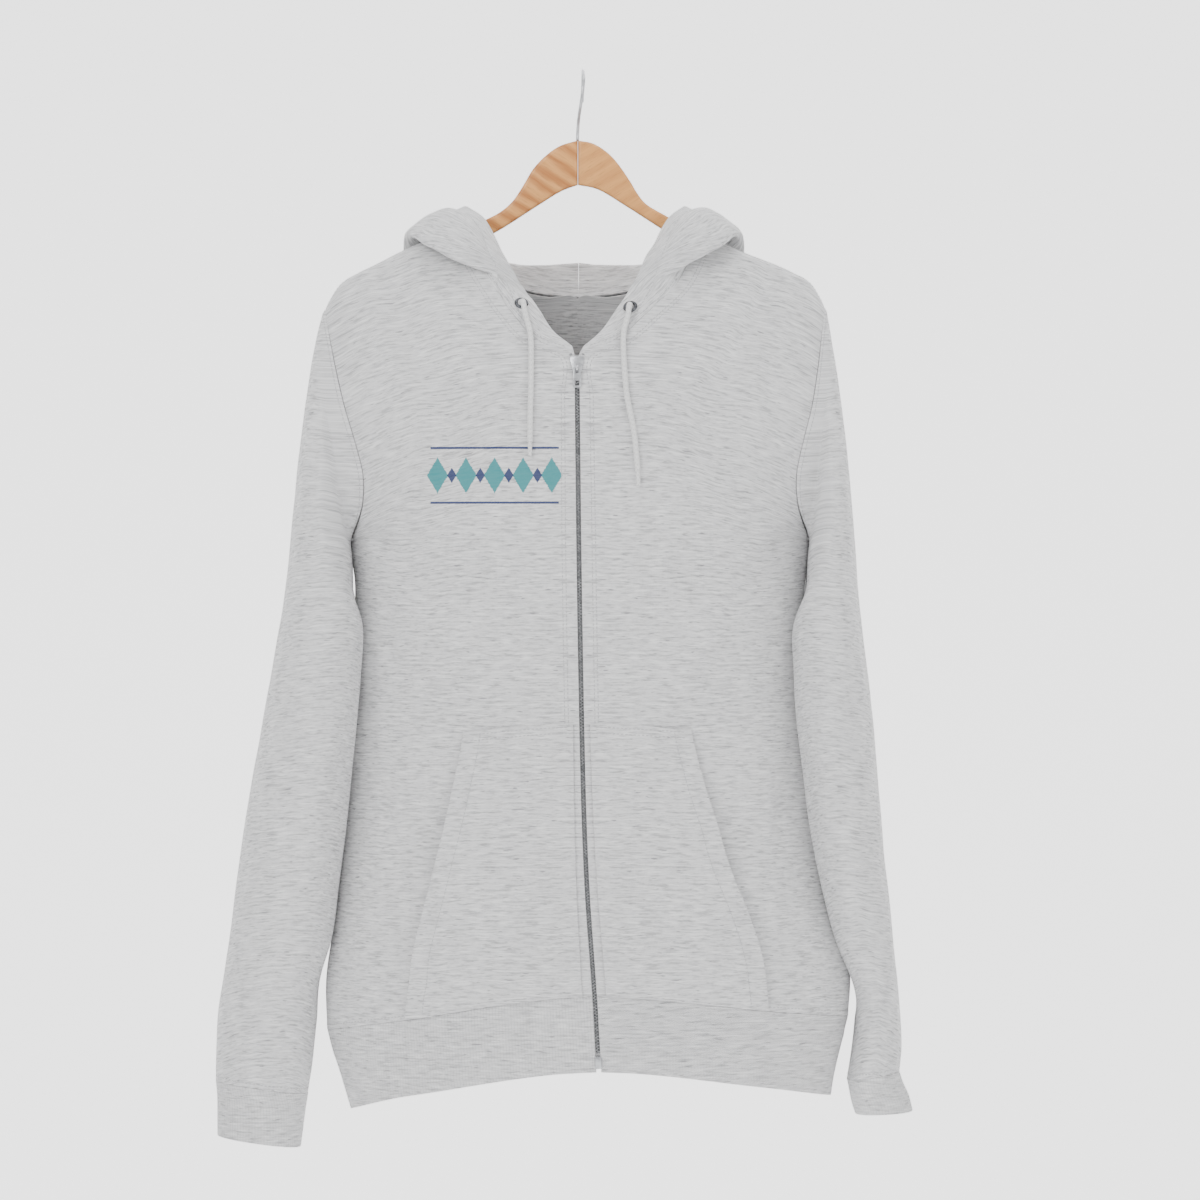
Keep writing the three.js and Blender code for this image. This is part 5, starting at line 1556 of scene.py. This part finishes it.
def make_materials(colours):
    """Every finish of the hoodie and hanger, by a maker's name."""
    heather_group()
    wood_group()
    base, dark, light = colours.cloth[:], colours.cloth_dark[:], colours.cloth_light[:]
    made = {
        "heather": knit_material("heather_cloth", base, dark, light),
        "chest": knit_material("heather_cloth_chest", base, dark, light, motif=motif_group(),
                               motif_colours=(colours.teal[:], colours.navy[:])),
        "rib": knit_material("rib_knit", colours.rib[:], dark, light, 0.9, rib=True),
        "tape": tape_material("zip_tape", colours.tape[:], dark),
        "cord": braid_material("drawcord", colours.cord[:], dark, math.pi * CORD_DIAMETER),
        "thread": thread_material("sewing_thread", colours.thread[:], dark),
        "teeth": metal_material("zip_metal", colours.teeth[:], (0.16, 0.165, 0.17, 1), 0.4),
        "dark_metal": metal_material("dark_metal", colours.dark_metal[:], (0.05, 0.05, 0.055, 1), 0.38),
        "bright_metal": metal_material("bright_metal", colours.bright_metal[:], (0.4, 0.41, 0.43, 1), 0.3),
        "wood_right": wood_material("hanger_wood_busy", colours.wood[:], colours.wood_dark[:], math.radians(-33), 1.0),
        "wood_left": wood_material("hanger_wood_plain", colours.wood[:], colours.wood_dark[:], math.radians(33), 0.35),
    }
    return made


finishes = {}


def finish_for(context, name):
    if not finishes:
        finishes.update(make_materials(context.scene.hoodie_colours))
    return finishes[name]


class HOODIE_OT_drawcord(bpy.types.Operator):
    """Makes the drawcord's two free ends and their bound tips."""

    bl_idname = "hoodie.drawcord"
    bl_label = "Drawcord"

    def execute(self, context):
        diameter = context.scene.hoodie_sizes.cord
        for side in SIDES:
            route = np.array(CORD_ROUTES[side]) / MM
            fine_route = centripetal(route, (len(route) - 1) * 4)
            piece = tube_piece(f"drawcord_{side}", fine_route, diameter / MM / 2, 16, 0.3)
            finish_piece(piece, finish_for(context, "cord"), f"cord_{side}")
            tip_route = centripetal(np.array(TIP_ROUTES[side]) / MM, 6)
            tip = tube_piece(f"drawcord_tip_{side}", tip_route, TIP_DIAMETER / MM / 2, 16, 0.4)
            finish_piece(tip, finish_for(context, "cord"), f"cord_tip_{side}")
        return {"FINISHED"}


class HOODIE_OT_body(bpy.types.Operator):
    """Makes the two fronts and the back, with their folds and creases."""

    bl_idname = "hoodie.body"
    bl_label = "Fronts and back"

    def execute(self, context):
        thick = context.scene.hoodie_sizes.cloth / MM
        hangers = ("hanger_right", "hanger_left")
        cloth_piece("front_right", finish_for(context, "chest"), thick)
        cloth_piece("front_left", finish_for(context, "heather"), thick)
        cloth_piece("back", finish_for(context, "heather"), thick, rests_on=hangers,
                    parts=("back_left", "back_right"))
        return {"FINISHED"}


class HOODIE_OT_bands(bpy.types.Operator):
    """Makes the ribbed hem band and cuffs."""

    bl_idname = "hoodie.bands"
    bl_label = "Hem band and cuffs"

    def execute(self, context):
        thick = context.scene.hoodie_sizes.rib / MM
        for name in ("hem_band", "cuff_right", "cuff_left"):
            cloth_piece(name, finish_for(context, "rib"), thick)
        return {"FINISHED"}


class HOODIE_OT_pockets(bpy.types.Operator):
    """Makes the two halves of the pouch pocket."""

    bl_idname = "hoodie.pockets"
    bl_label = "Pockets"

    def execute(self, context):
        for side in SIDES:
            cloth_piece(f"pocket_{side}", finish_for(context, "heather"),
                        context.scene.hoodie_sizes.cloth / MM)
        return {"FINISHED"}


class HOODIE_OT_sleeves(bpy.types.Operator):
    """Makes the two sleeves."""

    bl_idname = "hoodie.sleeves"
    bl_label = "Sleeves"

    def execute(self, context):
        for side in SIDES:
            cloth_piece(f"sleeve_{side}", finish_for(context, "heather"),
                        context.scene.hoodie_sizes.cloth / MM)
        return {"FINISHED"}


class HOODIE_OT_hood(bpy.types.Operator):
    """Makes the hood's two panels, hanging down the back."""

    bl_idname = "hoodie.hood"
    bl_label = "Hood"

    def execute(self, context):
        for side in SIDES:
            cloth_piece(f"hood_{side}", finish_for(context, "heather"),
                        context.scene.hoodie_sizes.cloth / MM, turned=True)
        return {"FINISHED"}


CHAIN_TOP_Z = -259.5
CHAIN_BOTTOM_Z = -831
TOOTH_SIZE = (2.35, 2.2, 1.15)


def zip_line():
    """The middle of the zip from bottom to top, from the edges on both sides of it."""
    hem = surfaces["hem_band"]["points"]
    low = (hem[:, 0] + hem[:, -1]) / 2
    high = (surfaces["front_right"]["points"][:, 0] + surfaces["front_left"]["points"][:, 0]) / 2
    path = np.concatenate([low[::-1], high])
    return path[(path[:, 2] > CHAIN_BOTTOM_Z) & (path[:, 2] < CHAIN_TOP_Z)]


class HOODIE_OT_zip(bpy.types.Operator):
    """Makes the zip's teeth, slider, pull tab, stops and end box, and finishes the tapes and eyelets."""

    bl_idname = "hoodie.zip"
    bl_label = "Zip and eyelets"

    def execute(self, context):
        dark, bright, tape = (finish_for(context, name) for name in ("dark_metal", "bright_metal", "tape"))
        grey = finish_for(context, "teeth")
        path = zip_line()
        forward = np.cross((1.0, 0, 0), np.gradient(path, axis=0))
        forward /= np.linalg.norm(forward, axis=1, keepdims=True)
        forward *= -np.sign(forward[:, 1:2])
        centres, along, outward = spaced(path, forward, context.scene.hoodie_sizes.tooth / MM / 2)
        bpy.ops.object.select_all(action="DESELECT")
        bpy.ops.mesh.primitive_cube_add(size=1)
        tooth = context.object
        tooth.scale = [TOOTH_SIZE[2] * MM, TOOTH_SIZE[0] * MM, TOOTH_SIZE[1] * MM]
        bpy.ops.object.transform_apply(location=False, rotation=False, scale=True)
        edge = tooth.modifiers.new("worn edges", "BEVEL")
        edge.width = 0.3 * MM
        edge.segments = 1
        apply_all(tooth)
        shift = (3.6 - TOOTH_SIZE[0]) / 2
        for k in range(len(centres)):
            centres[k, 0] += shift if k % 2 else -shift
        centres -= outward * (TOOTH_SIZE[1] / 2 - 0.5)
        teeth = copies("zip_teeth", tooth, centres, along, outward)
        bpy.data.objects.remove(tooth)
        smooth(teeth, 30)
        finish_piece(teeth, grey, "zip_chain")
        behind = path - forward * 2.3
        strip = np.stack([behind - (1.75, 0, 0), behind, behind + (1.75, 0, 0)], axis=1)
        core = grid_object("zip_core", strip, flip=forward_flips(strip))
        solid = core.modifiers.new("thickness", "SOLIDIFY")
        solid.thickness = 0.8 * MM
        solid.offset = -1
        apply_all(core)
        smooth(core, 40)
        finish_piece(core, tape)
        goes_with("front_left", core)
        for side in SIDES:
            node = NODES[f"zip_tape_{side}"]
            node.data.materials.clear()
            node.data.materials.append(tape)
            goes_with(f"front_{side}", node)
            stop = node_copy(f"zip_stop_{side}", f"stop_{side}", 0.35)
            finish_piece(stop, grey, f"zip_stop_{side}")
            eyelet = node_copy(f"eyelet_{side}", f"eyelet_ring_{side}", 0.0, 60)
            finish_piece(eyelet, dark, f"eyelet_{side}")
        box = node_copy("zip_end_box", "end_box", 0.4)
        finish_piece(box, bright, "zip_end_box")
        slider = node_copy("zip_slider", "slider", 0.25)
        finish_piece(slider, bright, "zip_slider")
        tab = node_copy("zip_pull", "pull", 0.2)
        finish_piece(tab, bright, "zip_pull", "pull_tab")
        return {"FINISHED"}


def forward_flips(strip):
    return grid_normals(strip)[:, :, 1].mean() > 0


def hanger_half(name, outline):
    """One half: its outline as a flat curve with rounded edges, made a mesh and stood up."""
    data = bpy.data.curves.new(name, "CURVE")
    data.dimensions = "2D"
    data.fill_mode = "BOTH"
    corners = np.array([(x, 0, z) for x, z in outline], float)
    rounded = centripetal(corners, (len(corners) - 1) * 4)
    line = data.splines.new("POLY")
    line.points.add(len(rounded) - 1)
    for point, (x, _, z) in zip(line.points, rounded):
        point.co = (x * MM, z * MM, 0, 1)
    line.use_cyclic_u = True
    data.extrude = (HANGER_THICKNESS / 2 - HANGER_ROUNDING) * MM
    data.bevel_depth = HANGER_ROUNDING * MM
    data.bevel_resolution = 4
    data.offset = -HANGER_ROUNDING * MM
    obj = bpy.data.objects.new(name, data)
    bpy.context.scene.collection.objects.link(obj)
    select_only(obj)
    bpy.ops.object.convert(target="MESH")
    obj = bpy.context.object
    obj.data.transform(Matrix.Rotation(math.radians(90), 4, "X"))
    select_only(obj)
    bpy.ops.object.mode_set(mode="EDIT")
    bpy.ops.mesh.select_all(action="SELECT")
    bpy.ops.mesh.remove_doubles(threshold=0.00002)
    bpy.ops.mesh.normals_make_consistent(inside=False)
    bpy.ops.object.mode_set(mode="OBJECT")
    smooth(obj, 40)
    return obj


class HOODIE_OT_hanger(bpy.types.Operator):
    """Makes the hanger's two glued halves and its wire hook."""

    bl_idname = "hoodie.hanger"
    bl_label = "Hanger"

    def execute(self, context):
        for side in SIDES:
            half = hanger_half(f"hanger_half_{side}", HANGER_EDGES[side])
            finish_piece(half, finish_for(context, f"wood_{side}"), f"hanger_{side}")
        turns = [(x, HOOK_BEND * math.cos(math.radians(angle)),
                  HOOK_RADIUS - HOOK_BEND + HOOK_BEND * math.sin(math.radians(angle))) for angle, x in HOOK_TURNS]
        route = centripetal(HOOK_STEM + turns, (len(HOOK_STEM) + len(turns)) * 6)
        hook = tube_piece("hook_wire", route, context.scene.hoodie_sizes.hook / MM, 20, 0.6)
        finish_piece(hook, finish_for(context, "bright_metal"), "hanger_hook")
        return {"FINISHED"}


# Seam lines that show sewing: the piece, the edge they follow, their distances from it, and bare ends
SEAMS = [
    ("front_right", "first column", (9.0, 12.0), 4, 4),
    ("front_left", "first column", (9.0, 12.0), 4, 4),
    ("front_right", "last row", (4.0,), 6, 6),
    ("front_left", "last row", (4.0,), 6, 6),
    ("front_right", "first row", (4.0,), 14, 3),
    ("front_left", "first row", (4.0,), 14, 3),
    ("back_right", "first row", (4.0,), 0, 3),
    ("back_left", "first row", (4.0,), 0, 3),
    ("back_right", "last row", (4.0,), 6, 6),
    ("back_left", "last row", (4.0,), 6, 6),
    ("pocket_right", "last row", (3.0, 8.0), 2, 4),
    ("pocket_left", "last row", (3.0, 8.0), 2, 4),
    ("pocket_right", "last column", (16.0,), 2, 2),
    ("pocket_left", "last column", (16.0,), 2, 2),
    ("sleeve_right", "first row", (4.0,), 0, 0),
    ("sleeve_left", "first row", (4.0,), 0, 0),
    ("sleeve_right", "last row", (4.0,), 0, 0),
    ("sleeve_left", "last row", (4.0,), 0, 0),
    ("hood_right", "last column", (19.0,), 16, 4),
    ("hood_left", "last column", (19.0,), 16, 4),
    ("hood_right", "first column", (4.0,), 6, 4),
    ("hood_left", "first column", (4.0,), 6, 4),
    ("hood_right", "last row", (4.0,), 6, 24),
    ("hood_left", "last row", (4.0,), 6, 24),
]


class HOODIE_OT_stitching(bpy.types.Operator):
    """Sews the visible stitch lines along seams, the zip, the pockets and the hood's casing."""

    bl_idname = "hoodie.stitching"
    bl_label = "Stitching"

    def execute(self, context):
        sizes = context.scene.hoodie_sizes
        bpy.ops.object.select_all(action="DESELECT")
        bpy.ops.mesh.primitive_uv_sphere_add(segments=6, ring_count=4, radius=1)
        stitch = context.object
        stitch.rotation_euler = (0, math.radians(90), 0)
        bpy.ops.object.transform_apply(location=False, rotation=True, scale=False)
        stitch.scale = (sizes.stitch_length / 2, 0.00042, 0.00034)
        bpy.ops.object.transform_apply(location=False, rotation=False, scale=True)
        sewn = {}
        for name, edge, distances, first, last in SEAMS:
            for distance in distances:
                line, facing = line_on(name, edge, distance, first, last)
                sewn.setdefault(name, []).append(spaced(line, facing, sizes.stitch / MM))
        for name, lines in sewn.items():
            centres, along, outward = (np.concatenate(part) for part in zip(*lines))
            thread = copies(f"stitches_{name}", stitch, centres, along, outward)
            smooth(thread)
            finish_piece(thread, finish_for(context, "thread"))
            goes_with("back" if name.startswith("back") else name, thread)
        bpy.data.objects.remove(stitch)
        return {"FINISHED"}


class HOODIE_PT_panel(bpy.types.Panel):
    """Lists the sizes, the colours and the pieces to make."""

    bl_idname = "HOODIE_PT_panel"
    bl_label = "Hoodie on a hanger"
    bl_space_type = "VIEW_3D"
    bl_region_type = "UI"
    bl_category = "Hoodie"

    def draw(self, context):
        for group in (context.scene.hoodie_sizes, context.scene.hoodie_colours, context.scene.hoodie_stage):
            column = self.layout.column(align=True)
            for name in type(group).__annotations__:
                column.prop(group, name)
        for operator in OPERATORS:
            self.layout.operator(operator.bl_idname)


OPERATORS = (
    HOODIE_OT_stage,
    HOODIE_OT_drawcord,
    HOODIE_OT_body,
    HOODIE_OT_bands,
    HOODIE_OT_pockets,
    HOODIE_OT_sleeves,
    HOODIE_OT_hood,
    HOODIE_OT_zip,
    HOODIE_OT_hanger,
    HOODIE_OT_stitching,
)
GROUPS = {"hoodie_sizes": HoodieSizes, "hoodie_colours": HoodieColours, "hoodie_stage": HoodieStage}


def register():
    for group in GROUPS.values():
        bpy.utils.register_class(group)
    for operator in OPERATORS:
        bpy.utils.register_class(operator)
    bpy.utils.register_class(HOODIE_PT_panel)
    for name, group in GROUPS.items():
        setattr(bpy.types.Scene, name, bpy.props.PointerProperty(type=group))


def unregister():
    for name in GROUPS:
        delattr(bpy.types.Scene, name)
    bpy.utils.unregister_class(HOODIE_PT_panel)
    for operator in reversed(OPERATORS):
        bpy.utils.unregister_class(operator)
    for group in reversed(list(GROUPS.values())):
        bpy.utils.unregister_class(group)


def main():
    register()
    make_surfaces()
    for operator in OPERATORS:
        group, name = operator.bl_idname.split(".")
        getattr(getattr(bpy.ops, group), name)()


if __name__ == "__main__":
    main()
